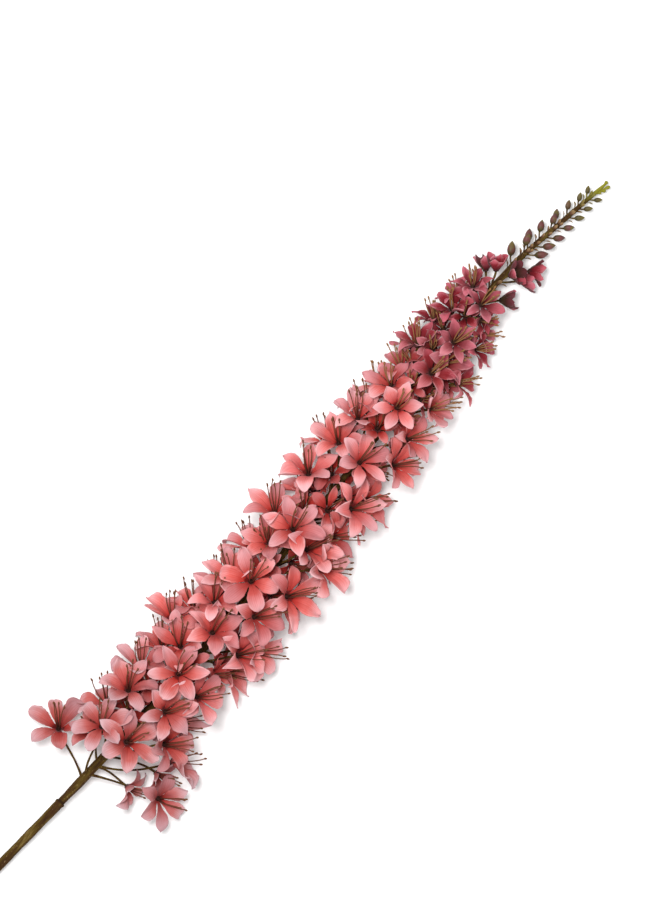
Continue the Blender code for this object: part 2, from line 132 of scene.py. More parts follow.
# A fine petal's half width along its length, for a pointed petal and for a blunt one
POINTED = ((0.0, 0.24), (0.2, 0.4), (0.38, 0.76), (0.54, 0.98), (0.7, 0.86), (0.86, 0.46), (1.0, 0.03))
BLUNT = (
    (0.0, 0.24), (0.2, 0.38), (0.4, 0.72), (0.6, 0.98), (0.76, 1.0), (0.88, 0.8), (0.96, 0.48), (1.0, 0.1),
)

# Pairs of way and radius: both in mm for knobs and anthers and both shares for buds. For shoots the
# way is a share of the length
SHOOT_SHAPE = ((0.0, 1.1), (0.25, 0.8), (0.6, 0.75), (0.75, 1.25), (0.86, 1.55), (0.95, 1.15), (1.0, 0.4))
BUD_SHAPE = (
    (0.0, 0.22), (0.05, 0.46), (0.14, 0.76), (0.27, 0.96), (0.4, 1.0),
    (0.54, 0.96), (0.68, 0.82), (0.82, 0.56), (0.93, 0.26), (1.0, 0.04),
)
KNOB_SHAPE = (
    (-1.2, 0.6), (-0.8, 1.3), (-0.3, 2.2), (0.5, 2.3), (0.9, 1.6), (1.7, 1.5), (2.3, 1.0), (2.6, 0.3),
)
ANTHER_SHAPE = ((-0.9, 0.35), (-0.6, 0.62), (0.1, 0.8), (0.9, 0.74), (1.6, 0.5), (1.9, 0.2))

# Small blooms deep among the stalks, only in the looks: root, azimuth, reach, rise
INNER = (
    (157, 105, 12, 9), (190, 115, 10, 9), (210, -95, 22, 10), (217, -112, 13, 10),
    (250, 110, 11, 9), (284, -106, 13, 9), (310, -112, 10, 10), (338, 104, 12, 9),
    (363, 112, 10, 10), (377, -118, 9, 9), (405, -102, 13, 9), (434, 118, 8, 9), (440, -108, 10, 9),
    (463, 104, 10, 9), (476, -106, 9, 9), (491, -96, 21, 10), (500, 112, 9, 8), (512, -112, 9, 8),
    (526, 98, 12, 8), (544, -104, 9, 8), (556, 100, 8, 7), (119, -88, 34, 16), (109, -91, 34, 5),
    (110, 62, 19, 16), (144, 66, 13, 12), (156, -74, 15, 12), (170, 70, 14, 12), (192, -70, 14, 12),
    (206, 20, 12, 10), (232, 64, 14, 12), (240, -76, 15, 12), (262, 72, 14, 12), (280, -72, 14, 12),
    (294, 24, 12, 10), (306, 74, 14, 12), (330, -70, 15, 13), (346, 46, 14, 13), (352, -86, 27, 20),
    (356, -24, 12, 14), (372, -62, 15, 12), (378, 62, 13, 12), (396, -26, 12, 12),
    (410, 66, 14, 12), (424, -66, 14, 12), (430, 30, 12, 12), (446, -30, 12, 12), (450, 72, 13, 12),
    (464, -64, 12, 11), (470, 22, 11, 11), (484, 66, 12, 10), (496, -58, 12, 10), (504, 40, 11, 10),
    (518, -36, 11, 10), (524, 66, 11, 10), (538, 24, 10, 9), (542, -66, 11, 9), (562, 62, 9, 8),
)
INNER_SIZE = 0.74  # of the petals' length further out
INNER_TRIES = 9

# Green bracts on the stem: root, azimuth and length in mm. Small ones start at BRACTS_FROM
GREEN_BRACTS = ((547, -35, 13.0), (536, -60, 11.0), (575, -30, 9.0))
BRACTS_FROM = 540
BRACT_ANGLES, BRACT_LAID = (62, 76), 48  # from the stem's direction, and less for those laid on it
BRACT_WIDTH = 0.22  # half of it, as a share of the length

# The bend of a fine petal: how far its end rolls and its middle folds, mm, and its cup, for each mm
CURLS, FOLDS, CUPS = (-6.5, 5.0), (-1.7, 1.7), (-0.04, 0.15)
HALF_OPEN_CURLS, HALF_OPEN_FOLDS, HALF_OPEN_CUP = (1.0, 4.5), (-0.8, 0.8), 0.14
BEND_LENGTH = 22  # mm, of the petal that bends as far as this
WIDTHS, HALF_OPEN_WIDTH = (0.7, 0.98), 1.2  # of a solid petal's width

# The photograph: its size in pixels, what a pixel is worth, and how the spike lies in it
PHOTO_WIDTH, PHOTO_HEIGHT = 660, 900
PIXEL = 0.76 * MM
STEM_RIGHT, STEM_UP = 0.6597, 0.7513  # the image direction of +X
STEM_START = (0, 870)  # the pixel of x = 0 on the stem
CAMERA_HEIGHT = 3.0  # metres
EYE_LEVEL = 0.02  # the height in the object that the pixel size holds for, metres

# The key light: how far it leans from straight up, to the image's top and left, and what it is over
KEY_UP, KEY_LEFT = 0.12, 0.13
KEY_DISTANCE = 2.2  # metres
KEY_TARGET = Vector((0.1, 0.0, 0.0))


@dataclass
class Bloom:
    """One open bloom: where its stalk leaves the stem, where it ends and how its petals lie."""

    root: float
    azimuth: float
    reach: float
    rise: float
    tilt: float
    turn: float
    length: float
    end_angle: float
    lean: float = 0.0
    upturn: float = UPTURN
    stamens: int = STAMENS


# Blooms that stand out: root, azimuth from straight up to +Y, reach, rise, tilt, upturn
CHOSEN = (
    (93, 100, 40, 14, 50, 1.5), (97, 32, 32, 40, 64, 0.5), (99, -97, 52, 22, 66, 1.6),
    (108, -86, 40, 41, 30, 0.2), (122, -52, 33, 36, 50, 0.5), (142, 44, 30, 27, 50, 0.5),
    (172, -44, 28, 28, 46, 0.4), (178, 3, 30, 27, 80, 0.4), (203, 72, 33, 26, 40, 0.3),
    (217, -50, 29, 26, 46, 0.4), (222, 6, 27, 22, 50, 0.4), (248, -29, 27, 25, 60, 0.4),
    (266, 11, 30, 26, 80, 0.4), (274, -49, 29, 26, 50, 0.4), (305, -64, 30, 26, 46, 0.4),
    (316, 12, 29, 26, 70, 0.4), (316, 58, 28, 26, 46, 0.4), (356, 56, 27, 25, 50, 0.4),
    (356, -43, 27, 25, 50, 0.4), (388, -4, 27, 24, 50, 0.4), (391, 47, 26, 23, 56, 0.4),
    (402, -56, 27, 24, 50, 0.4), (413, 50, 25, 24, 44, 0.4), (425, -48, 26, 23, 50, 0.4),
    (437, 2, 28, 25, 84, 0.4), (456, -60, 22, 20, 50, 0.4), (479, -11, 20, 19, 60, 0.4),
    (486, -80, 24, 18, 40, 0.4), (490, 62, 19, 19, 46, 0.4), (508, -10, 19, 19, 70, 0.4),
    (514, 80, 18, 17, 46, 0.4), (516, -75, 19, 17, 50, 0.4), (531, 50, 16, 15, 60, 0.4),
    (548, -8, 14, 14, 60, 0.4), (554, 50, 15, 15, 50, 0.4),
)

# Closed buds: root and azimuth, first the row on the +Y side and then the other
BUDS = (
    (600, 78), (613, 50), (617.5, 100), (629, 76), (640, 50), (645, 96), (657, 78), (668, 64),
    (677, 84), (614, -82), (623, -66), (634, -86), (645, -70), (657, -84), (667, -68), (678, -82),
)

# Half-open blooms: root, azimuth, reach, rise
HALF_OPEN = (
    (565, -95, 11, 11), (574, 85, 12.5, 12), (579, 48, 9, 11.5), (598, -85, 12, 9.5),
    (584, -25, 8.5, 10), (586, -112, 13.5, 12),
)


# The rule of the solids


def along(knots, x):
    """Smooth curve through given knots (x, values...), read at x."""
    low = max(0, min(len(knots) - 2, sum(1 for knot in knots[1:] if knot[0] <= x)))
    a, b = knots[low], knots[low + 1]
    before = knots[low - 1] if low else a
    after = knots[low + 2] if low + 2 < len(knots) else b
    span = b[0] - a[0]
    t = min(max((x - a[0]) / span, 0.0), 1.0)
    values = []
    for i in range(1, len(a)):
        slope_a = (b[i] - before[i]) / (b[0] - before[0]) * span
        slope_b = (after[i] - a[i]) / (after[0] - a[0]) * span
        rest = (1 - t) ** 2
        values.append(
            (1 + 2 * t) * rest * a[i]
            + t * rest * slope_a
            + t * t * (3 - 2 * t) * b[i]
            - t * t * (1 - t) * slope_b
        )
    return values if len(values) > 1 else values[0]


def stem_point(x):
    """A point of the stem's centre line, in metres."""
    y, z = along(STEM_ROUTE, x)
    return Vector((x, y, z)) * MM - MIDDLE


def stem_frame(x):
    """The point at x, and the directions along the stem, to its side (+Y) and up."""
    forward = (stem_point(x + 1) - stem_point(x - 1)).normalized()
    side = UP.cross(forward).normalized()
    return stem_point(x), forward, side, forward.cross(side)


def outward(x, azimuth):
    """The direction straight out from the stem at x, turned by azimuth from up to +Y."""
    _, _, side, up = stem_frame(x)
    angle = math.radians(azimuth)
    return up * math.cos(angle) + side * math.sin(angle)


def bloom_frame(bloom):
    """The whorl's centre, where it faces, and two directions across it."""
    out = outward(bloom.root, bloom.azimuth)
    point, forward, _, _ = stem_frame(bloom.root + bloom.rise)
    centre = point + out * bloom.reach * MM
    tilt = math.radians(bloom.tilt)
    facing = forward * math.cos(tilt) + out * math.sin(tilt)
    facing += UP * (bloom.upturn + max(0.0, -facing.z))
    facing = (Matrix.Rotation(math.radians(bloom.lean), 3, out) @ facing).normalized()
    across = out.cross(forward).cross(facing).normalized()
    return centre, facing, across, facing.cross(across)


def laid(point, height, away=Vector()):
    """The point, or where it lies if the surface stops it: at this height in mm and pushed away."""
    depth = max(height * MM - point.z, 0.0)
    return point + (away + UP) * depth


def petal_habit(bloom, petal):
    """What sets one petal apart: length in mm, end angle, bow, twist and sway of its heading."""
    rng = random.Random(SEED * 1000 + int(bloom.root * 10) * 7 + petal)
    length = bloom.length * rng.uniform(0.93, 1.07)
    end = math.radians(bloom.end_angle + rng.uniform(-14, 14))
    bow = rng.uniform(0.05, 0.4)
    twist = math.radians(rng.uniform(-16, 16))
    return length, end, bow, twist, rng.uniform(-0.045, 0.045)


def petal_point(stance, bloom, petal, share, width, lift=0.0):
    """A point of a solid petal: share of the way along it, width to one side and lift, in mm."""
    centre, facing, across, upright = stance
    length, end, bow, twist, sway = petal_habit(bloom, petal)
    start = math.radians(THROAT_ANGLE)
    step = math.tau / PETALS
    heading = math.radians(bloom.turn) + petal * step + sway * min(1, share * 3)
    angle = start + (end - start) * share
    far = HOLE + length * (math.cos(start) - math.cos(angle)) / (end - start)
    high = length * (math.sin(angle) - math.sin(start)) / (end - start)
    out = across * math.cos(heading) + upright * math.sin(heading)
    over = facing * math.sin(angle) - out * math.cos(angle)
    level = facing.cross(out)
    side = level * math.cos(twist * share) + over * math.sin(twist * share)
    limit = 0.9 * far * math.tan(step / 2)
    width = math.copysign(min(abs(width), limit), width) if width else 0.0
    lift += bow * abs(width)
    return centre + (out * far + facing * high + side * width + over * lift) * MM


def floor_layer(bloom):
    """The height in mm at which a bloom's petals lie where they are pressed on the surface."""
    return int(bloom.root * 10) % LAYERS * LAYER


def whorl_mesh(bloom, room=0.0):
    """A solid whorl: two skins, welded along the outline, with a hole for the stalk."""
    stance = centre, facing, across, upright = bloom_frame(bloom)
    half = bloom.length * PETAL_WIDTH / 2 + room
    skin = THICK / 2 + room
    longer = room / bloom.length
    bm = bmesh.new()
    away = Vector((facing.x, facing.y, 0.0))
    floor = floor_layer(bloom)

    def vertex(petal, share, width, lift=0.0):
        point = petal_point(stance, bloom, petal, share, width, lift)
        return bm.verts.new(laid(point, floor + max(lift, 0.0), away))

    notches, holes, ribs, edges = [], [], [], []
    for petal in range(PETALS):
        after = (petal + 1) % PETALS
        a = petal_point(stance, bloom, petal, NOTCH, half)
        b = petal_point(stance, bloom, after, NOTCH, -half)
        notches.append(bm.verts.new(laid((a + b) / 2, floor, away)))
        rim = [(share + (0 if w else longer), w * half) for share, w in PETAL_OUTLINE]
        edges.append([vertex(petal, share, w) for share, w in rim])
        ribs.append([vertex(petal, RIB, 0.0, skin), vertex(petal, RIB, 0.0, -skin)])
        heading = math.radians(bloom.turn) + (petal + 0.5) * math.tau / PETALS
        out = across * math.cos(heading) + upright * math.sin(heading)
        base = centre + out * HOLE * MM
        holes.append([bm.verts.new(base + facing * side * skin * MM) for side in (1, -1)])
    for petal in range(PETALS):
        before = petal - 1
        for face in range(2):
            rib, hole, hole_before = ribs[petal][face], holes[petal][face], holes[before][face]
            ring = [notches[before], *edges[petal], notches[petal], hole, hole_before]
            for a, b in zip(ring, ring[1:] + ring[:1]):
                bm.faces.new((a, b, rib) if face else (b, a, rib))
        bm.faces.new((holes[before][0], holes[petal][0], holes[petal][1], holes[before][1]))
    bmesh.ops.recalc_face_normals(bm, faces=bm.faces)
    return bm


def grow(bm, ring, heading, path):
    """Carry a ring of vertices along a path of (point, radius in mm) and skin the way."""
    centre = sum((v.co for v in ring), Vector()) / len(ring)
    spokes = [(v.co - centre).normalized() for v in ring]
    for point, radius in path:
        step = (point - centre).normalized()
        turn = heading.rotation_difference(step)
        spokes = [turn @ spoke for spoke in spokes]
        fresh = [bm.verts.new(laid(point + s * radius * MM, FLOOR_GAP)) for s in spokes]
        for i in range(len(ring)):
            j = (i + 1) % len(ring)
            bm.faces.new((ring[i], ring[j], fresh[j], fresh[i]))
        ring, centre, heading = fresh, point, step
    return ring, heading


def first_ring(bm, point, heading, radius, sides):
    """A capped ring of vertices round a point, square to the heading."""
    across = heading.orthogonal().normalized()
    ring = []
    for i in range(sides):
        spoke = Matrix.Rotation(math.tau * i / sides, 3, heading) @ across
        ring.append(bm.verts.new(laid(point + spoke * radius * MM, FLOOR_GAP)))
    bm.faces.new(ring[::-1])
    return ring


def bezier(points, t):
    """A cubic Bezier curve's point at t."""
    weights = ((1 - t) ** 3, 3 * t * (1 - t) ** 2, 3 * t * t * (1 - t), t**3)
    return sum((p * w for p, w in zip(points, weights)), Vector())


def stalk_route(bloom):
    """The flower stalk's curve, from inside the stem to the middle of the whorl."""
    centre, facing, _, _ = bloom_frame(bloom)
    point, forward, _, _ = stem_frame(bloom.root)
    out = outward(bloom.root, bloom.azimuth)
    reach = (centre - point).length
    leave = (out + forward * 0.55).normalized()
    return point + out * 0.4 * MM, point + leave * reach * 0.42, centre - facing * reach * 0.38, centre


def stamen_sweep(bloom):
    """The way that a bloom's stamens turn: towards the tip and out to its own side."""
    _, forward, side, _ = stem_frame(bloom.root + bloom.rise)
    return (forward + side * math.sin(math.radians(bloom.azimuth))).normalized() * SWEEP


def flower_stalk_mesh(bloom, room=0.0):
    """A solid flower stalk with its knob, and a stamen grown from each side of the knob."""
    centre, facing, _, _ = bloom_frame(bloom)
    route = stalk_route(bloom)
    bm = bmesh.new()
    heading = (route[1] - route[0]).normalized()
    ring = first_ring(bm, route[0], heading, ROOT_RADIUS, 3)
    path = [(bezier(route, t), STALK_RADIUS * k + room) for t, k in STALK_RINGS]
    path += [(centre, STALK_RADIUS + room), (centre + facing * KNOB_LENGTH * 0.5 * MM, KNOB_RADIUS)]
    ring, heading = grow(bm, ring, heading, path)
    apex = bm.verts.new(centre + facing * KNOB_LENGTH * MM)
    rng = random.Random(SEED * 77 + int(bloom.root * 10))
    sweep = stamen_sweep(bloom)
    for i in range(3):
        base = (ring[i], ring[(i + 1) % 3], apex)
        if i >= bloom.stamens:
            bm.faces.new(base)
            continue
        middle = sum((v.co for v in base), Vector()) / 3
        spread = (middle - centre - facing * KNOB_LENGTH * 0.6 * MM).normalized()
        aim = (facing + sweep + spread * rng.uniform(0.1, 0.35)).normalized()
        length = bloom.length * STAMEN_LENGTH * rng.uniform(0.85, 1.1) * MM
        waist = middle + (facing + aim).normalized() * length * 0.3
        tip = middle + aim * length
        steps = [(waist, STAMEN_RADIUS + room), (tip, ANTHER_RADIUS + room)]
        end, _ = grow(bm, list(base), facing, steps)
        bm.faces.new(end)
    bmesh.ops.recalc_face_normals(bm, faces=bm.faces)
    return bm


def squeeze(azimuth):
    """Turn an azimuth towards the top, so that no stalk points into the surface."""
    wrapped = (azimuth + 180) % 360 - 180
    return wrapped * LOWEST / 180


def make_bloom(root, azimuth, rng, **given):
    """A bloom of the size that belongs at root, turned and opened at random."""
    size = dict(
        reach=along(REACH, root) * rng.uniform(0.86, 1.14),
        rise=along(RISE, root) * rng.uniform(0.9, 1.1),
        tilt=TILT + rng.uniform(-14, 16),
        turn=rng.uniform(0, 60),
        length=along(PETAL_LENGTH, root) * rng.uniform(0.94, 1.06),
        end_angle=END_ANGLE + rng.uniform(-16, 14),
        lean=rng.uniform(-16, 16),
    )
    size.update(given)
    return Bloom(root=root, azimuth=azimuth, **size)


def rule_roots():
    """Where the flower stalks leave the stem, closer together towards the tip."""
    root = FIRST_ROOT
    while root < LAST_ROOT:
        yield root
        root += along(SPACING, root)


def tree_of(bm):
    """A search tree of a mesh, which is then freed."""
    made = BVHTree.FromBMesh(bm)
    bm.free()
    return made


class Thicket:
    """The blooms placed so far, in groups that share petals, with search trees of their parts."""

    def __init__(self):
        self.blooms = []
        self.groups = []
        self.whorls = []
        self.stalks = []

    def crossed(self, bloom):
        """The groups whose petals the bloom's petals cross, or None if it has no room here."""
        near = tree_of(whorl_mesh(bloom, CLEAR))
        whorl = tree_of(whorl_mesh(bloom))
        stalk = tree_of(flower_stalk_mesh(bloom, CLEAR))
        here = bloom_frame(bloom)[0]
        groups = set()
        for i, other in enumerate(self.blooms):
            if abs(here.x - bloom_frame(other)[0].x) > NEIGHBOURS * MM:
                continue
            if near.overlap(self.stalks[i]) or stalk.overlap(self.whorls[i]):
                return None
            if near.overlap(self.whorls[i]):
                if len(whorl.overlap(self.whorls[i])) < FIRM:
                    return None
                groups.add(self.groups[i])
        return groups

    def add(self, bloom, groups):
        """Keep the bloom, in a group of its own or in one with all the groups that it crosses."""
        number = min(groups, default=len(self.blooms) + 1)
        self.groups = [number if group in groups else group for group in self.groups]
        self.groups.append(number)
        self.blooms.append(bloom)
        self.whorls.append(tree_of(whorl_mesh(bloom)))
        self.stalks.append(tree_of(flower_stalk_mesh(bloom)))

    def settle(self, candidates, join=False):
        """Add the first candidate that stands alone, or with join the first that crosses others."""
        spare = None
        for bloom in candidates:
            groups = self.crossed(bloom)
            if groups is None or sum(self.groups.count(group) for group in groups) >= MOST_JOINED:
                continue
            if bool(groups) == join:
                self.add(bloom, groups)
                return
            spare = spare or (bloom, groups)
        if spare:
            self.add(*spare)


@lru_cache(maxsize=None)
def place_blooms():
    """The chosen blooms, the half-open ones, then those that the golden angle adds."""
    thicket = Thicket()
    for i, (root, azimuth, reach, rise, tilt, upturn) in enumerate(CHOSEN):
        rng = random.Random(SEED + i)
        given = dict(reach=reach, rise=rise, tilt=tilt, upturn=upturn, lean=0.0)
        thicket.settle(make_bloom(root, azimuth, rng, **given) for _ in range(TRIES))
    for i, (root, azimuth, reach, rise) in enumerate(HALF_OPEN):
        rng = random.Random(SEED * 5 + i)
        given = dict(reach=reach, rise=rise, tilt=HALF_OPEN_TILT, length=HALF_OPEN_LENGTH)
        given.update(upturn=0.0, stamens=0)
        tries = (
            make_bloom(root, azimuth, rng, end_angle=rng.uniform(*HALF_OPEN_ANGLES), **given)
            for _ in range(TRIES)
        )
        thicket.settle(tries)
    for i, root in enumerate(rule_roots()):
        rng = random.Random(SEED * 100 + i)
        azimuth = squeeze(i * GOLDEN_ANGLE)
        tries = (
            make_bloom(root + rng.uniform(-2, 2), azimuth + rng.uniform(-14, 14), rng)
            for _ in range(TRIES)
        )
        thicket.settle(tries, join=i % 2 == 1)
    return thicket


def clashes(bloom, thicket):
    """How many pairs of faces cross between a bloom and the placed ones, stalks counting most."""
    whorl = tree_of(whorl_mesh(bloom))
    stalk = tree_of(flower_stalk_mesh(bloom))
    here = bloom_frame(bloom)[0]
    total = 0
    for other, its_whorl, its_stalk in zip(thicket.blooms, thicket.whorls, thicket.stalks):
        if abs(here.x - bloom_frame(other)[0].x) < NEIGHBOURS * MM:
            total += len(whorl.overlap(its_whorl))
            total += 3 * len(whorl.overlap(its_stalk)) + 3 * len(stalk.overlap(its_whorl))
    return total


@lru_cache(maxsize=None)
def inner_blooms():
    """Small blooms deep in the spike, each the one of a few tries that crosses the least."""
    thicket = place_blooms()
    made = []
    for i, (root, azimuth, reach, rise) in enumerate(INNER):
        rng = random.Random(SEED * 7 + i)
        tries = []
        for _ in range(INNER_TRIES):
            given = dict(reach=reach * rng.uniform(0.8, 1.25), rise=rise, tilt=rng.uniform(50, 88))
            given.update(upturn=rng.uniform(0.4, 1.1), stamens=2)
            given.update(length=along(PETAL_LENGTH, root) * INNER_SIZE)
            near = root + rng.uniform(-3, 3)
            bloom = make_bloom(near, azimuth + rng.uniform(-14, 10), rng, **given)
            tries.append((clashes(bloom, thicket), len(tries), bloom))
        made.append(min(tries)[2])
    return made


def bloom_groups():
    """The blooms of each packed whorl node, by the node's name."""
    thicket = place_blooms()
    groups = {}
    for number, group in enumerate(sorted(set(thicket.groups)), 1):
        members = [b for b, g in zip(thicket.blooms, thicket.groups) if g == group]
        groups[f"bloom_{number:02d}"] = members
    nodes = {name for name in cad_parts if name.startswith("bloom_")}
    if nodes != set(groups):
        raise RuntimeError(f"the rule gives {len(groups)} whorls and the frame has {len(nodes)}")
    for name, members in groups.items():
        check_place(name, members)
    return groups


def check_place(name, members):
    """Stop if the whorls of the rule don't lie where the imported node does."""
    points = []
    for bloom in members:
        bm = whorl_mesh(bloom)
        points += [v.co.copy() for v in bm.verts]
        bm.free()
    low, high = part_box(name)
    for i in range(3):
        gap = max(abs(min(p[i] for p in points) - low[i]), abs(max(p[i] for p in points) - high[i]))
        if gap > PLACE_TOLERANCE:
            raise RuntimeError(f"{name} lies {gap / MM:.1f} mm from where the rule puts it")


# Node trees


class Field:
    """A value in a node tree. Sums of fields add Math and Vector Math nodes to the tree."""

    def __init__(self, socket):
        self.socket = socket
        self.tree = socket.node.id_data
        self.is_vector = socket.type == "VECTOR"

    def __add__(self, other):
        return calculate("ADD", self, other)

    def __sub__(self, other):
        return calculate("SUBTRACT", self, other)

    def __rsub__(self, other):
        return calculate("SUBTRACT", other, self)

    def __mul__(self, other):
        return calculate("MULTIPLY", self, other)

    def __truediv__(self, other):
        return calculate("DIVIDE", self, other)

    def __pow__(self, other):
        return calculate("POWER", self, other)

    def __abs__(self):
        return calculate("ABSOLUTE", self)


def add(tree, kind, values=(), output=None, **settings):
    """Add a node with these settings, feed its inputs in order or by name, and give an output."""
    node = tree.nodes.new(kind)
    for name, value in settings.items():
        setattr(node, name, value)
    sockets = [socket for socket in node.inputs if socket.enabled]
    if isinstance(values, dict):
        named = {socket.name: socket for socket in sockets}
        sockets = [named[label] for label in values]
        values = values.values()
    for socket, value in zip(sockets, values):
        if isinstance(value, Field):
            tree.links.new(value.socket, socket)
        else:
            socket.default_value = value
    return Field(next(s for s in node.outputs if s.enabled and output in (None, s.name)))


def is_vector(value):
    """Whether a field or a plain value is a vector."""
    return value.is_vector if isinstance(value, Field) else isinstance(value, tuple)


def calculate(operation, *values):
    """A Math node, or a Vector Math node where one of the values is a vector."""
    tree = next(value.tree for value in values if isinstance(value, Field))
    vectors = [is_vector(value) for value in values]
    if not any(vectors):
        return add(tree, "ShaderNodeMath", values, operation=operation)
    if operation == "MULTIPLY" and not all(vectors):
        operation = "SCALE"
        values = sorted(values, key=is_vector, reverse=True)
    output = "Value" if operation == "DOT_PRODUCT" else None
    return add(tree, "ShaderNodeVectorMath", values, output, operation=operation)


def sine(value):
    """The sine of a field."""
    return calculate("SINE", value)


def cosine(value):
    """The cosine of a field."""
    return calculate("COSINE", value)


def part(vector, axis):
    """One of a vector field's three numbers, by its letter."""
    return add(vector.tree, "ShaderNodeSeparateXYZ", (vector,), axis)


def clamped(value):
    """The field, held between 0 and 1."""
    return add(value.tree, "ShaderNodeClamp", (value,))


def smooth_step(value, low, high):
    """0 at low, 1 at high, and a smooth way between them."""
    return add(value.tree, "ShaderNodeMapRange", (value, low, high), interpolation_type="SMOOTHSTEP")


def noise(place, scale, detail=3.0, roughness=0.55):
    """Noise from 0 to 1 at a place."""
    values = {"Vector": place, "Scale": scale, "Detail": detail, "Roughness": roughness}
    return add(place.tree, "ShaderNodeTexNoise", values)


def float_curve(value, points):
    """A smooth curve through given points, read at a field."""
    made = add(value.tree, "ShaderNodeFloatCurve", {"Value": value})
    mapping = made.socket.node.mapping
    curve = mapping.curves[0]
    curve.points[0].location = points[0]
    curve.points[1].location = points[-1]
    for point in points[1:-1]:
        curve.points.new(*point)
    mapping.update()
    return made


def new_tree(name, inputs):
    """A Geometry Nodes tree with a mesh coming in, named inputs, and a mesh going out."""
    tree = bpy.data.node_groups.new(name, "GeometryNodeTree")
    tree.interface.new_socket("Mesh", in_out="OUTPUT", socket_type="NodeSocketGeometry")
    for label, (kind, default) in {"Seeds": ("Geometry", None), **inputs}.items():
        socket = tree.interface.new_socket(label, in_out="INPUT", socket_type=f"NodeSocket{kind}")
        if default is not None:
            socket.default_value = default
    entry = tree.nodes.new("NodeGroupInput")
    return tree, {socket.name: Field(socket) for socket in entry.outputs if socket.name}


def finish_tree(tree, geometry, finish):
    """End a tree: real geometry in place of instances, shaded smooth, with its material."""
    real = add(tree, "GeometryNodeRealizeInstances", (geometry,))
    smooth = add(tree, "GeometryNodeSetShadeSmooth", (real,))
    painted = add(tree, "GeometryNodeSetMaterial", {"Geometry": smooth, "Material": finish})
    tree.links.new(painted.socket, tree.nodes.new("NodeGroupOutput").inputs[0])
    return tree


def carried(tree, name, kind="FLOAT"):
    """An attribute that the seeds carry, read by name."""
    return add(tree, "GeometryNodeInputNamedAttribute", (name,), data_type=kind)


def stored(geometry, name, value):
    """The geometry, with a field kept on its points as a named attribute."""
    values = {"Geometry": geometry, "Name": name, "Value": value}
    kinds = {"data_type": "FLOAT", "domain": "POINT"}
    return add(geometry.tree, "GeometryNodeStoreNamedAttribute", values, **kinds)


@lru_cache(maxsize=None)
def petal_tree():
    """Petals from seeds: each seed point carries where its petal starts, faces and how it bends."""
    inputs = {
        "Rows": ("Int", 15),
        "Columns": ("Int", 11),
        "Ruffle": ("Float", 0.5),
        "Ragged": ("Float", 0.05),
        "Material": ("Material", None),
    }
    tree, given = new_tree("lily petals", inputs)

    def number(name):
        return carried(tree, name)

    def direction(name):
        return carried(tree, name, "FLOAT_VECTOR")

    # A flat grid that knows how far along and across each of its points lies, on every seed
    grid = add(tree, "GeometryNodeMeshGrid", (2.0, 1.0, given["Columns"], given["Rows"]))
    place = add(tree, "GeometryNodeInputPosition")
    blank = stored(grid, "across", part(place, "X"))
    blank = stored(blank, "share", part(place, "Y") + 0.5)
    placed = add(tree, "GeometryNodeInstanceOnPoints", {"Points": given["Seeds"], "Instance": blank})
    petals = add(tree, "GeometryNodeRealizeInstances", (placed,))

    # The midrib's arc, as in petal_point
    share, across, phase = number("share"), number("across"), number("phase")
    start = math.radians(THROAT_ANGLE)
    bend = number("end") - start
    angle = bend * share + start
    length = number("length")
    far = length * (math.cos(start) - cosine(angle)) / bend + HOLE
    high = length * (sine(angle) - math.sin(start)) / bend
    heading = number("heading") + number("sway") * calculate("MINIMUM", share * 3.0, 1.0)
    facing = direction("facing")
    out = direction("level") * cosine(heading) + direction("upright") * sine(heading)
    over = facing * sine(angle) - out * cosine(angle)
    turn = number("twist") * share
    side = calculate("CROSS_PRODUCT", facing, out) * cosine(turn) + over * sine(turn)

    # The outline with its torn edge, held inside the sixth of the whorl that is the petal's own
    tear = (share * 9.0, calculate("SIGN", across) * 3.0, phase * 10.0)
    torn = noise(add(tree, "ShaderNodeCombineXYZ", tear), 1.0, 3.0, 0.5) - 0.5
    fringe = abs(across) ** 3.0
    pointed = float_curve(share, POINTED)
    outline = pointed + (float_curve(share, BLUNT) - pointed) * number("blunt")
    widest = number("half") * outline * (torn * fringe * given["Ragged"] * 6.0 + 1.0)
    limit = far * (math.tan(math.pi / PETALS) * 0.98)
    width = calculate("MINIMUM", widest, limit) * across

    # The relief: a bowed section, ruffles, a rolled end, a cup, a fold and fine pleats
    reach = abs(width)
    wave = sine(share * 8.0 + across * 1.7 + phase * math.tau) * fringe
    lift = (
        number("bow") * (calculate("SQRT", width * width + 0.5) - 0.7)
        + wave * given["Ruffle"] * share
        + number("curl") * share**4.0
        + number("cup") * reach * reach * share
        + number("fold") * sine(share * 7.0 + phase * 9.0 + across * 2.0) * share
        + sine(across * 9.0 + phase) * share * 0.06
    )
    spot = direction("centre") + (out * far + facing * high + side * width + over * lift) * MM
    lowest = (number("floor") + fringe * share * 0.35) * MM
    depth = calculate("MAXIMUM", lowest - part(spot, "Z"), 0.0)
    spot = spot + (direction("away") + (0.0, 0.0, 1.0)) * depth
    # Painted shade: a share that is highest near the stem, where the blooms shade each other, and falls to 0
    # a little beyond the bloom's reach
    from_stem = calculate("DOT_PRODUCT", spot - direction("root"), direction("outward"))
    petals = stored(petals, "shadow", clamped(1.15 - from_stem / number("reach")))
    bent = add(tree, "GeometryNodeSetPosition", {"Geometry": petals, "Position": spot})
    return finish_tree(tree, bent, given["Material"])


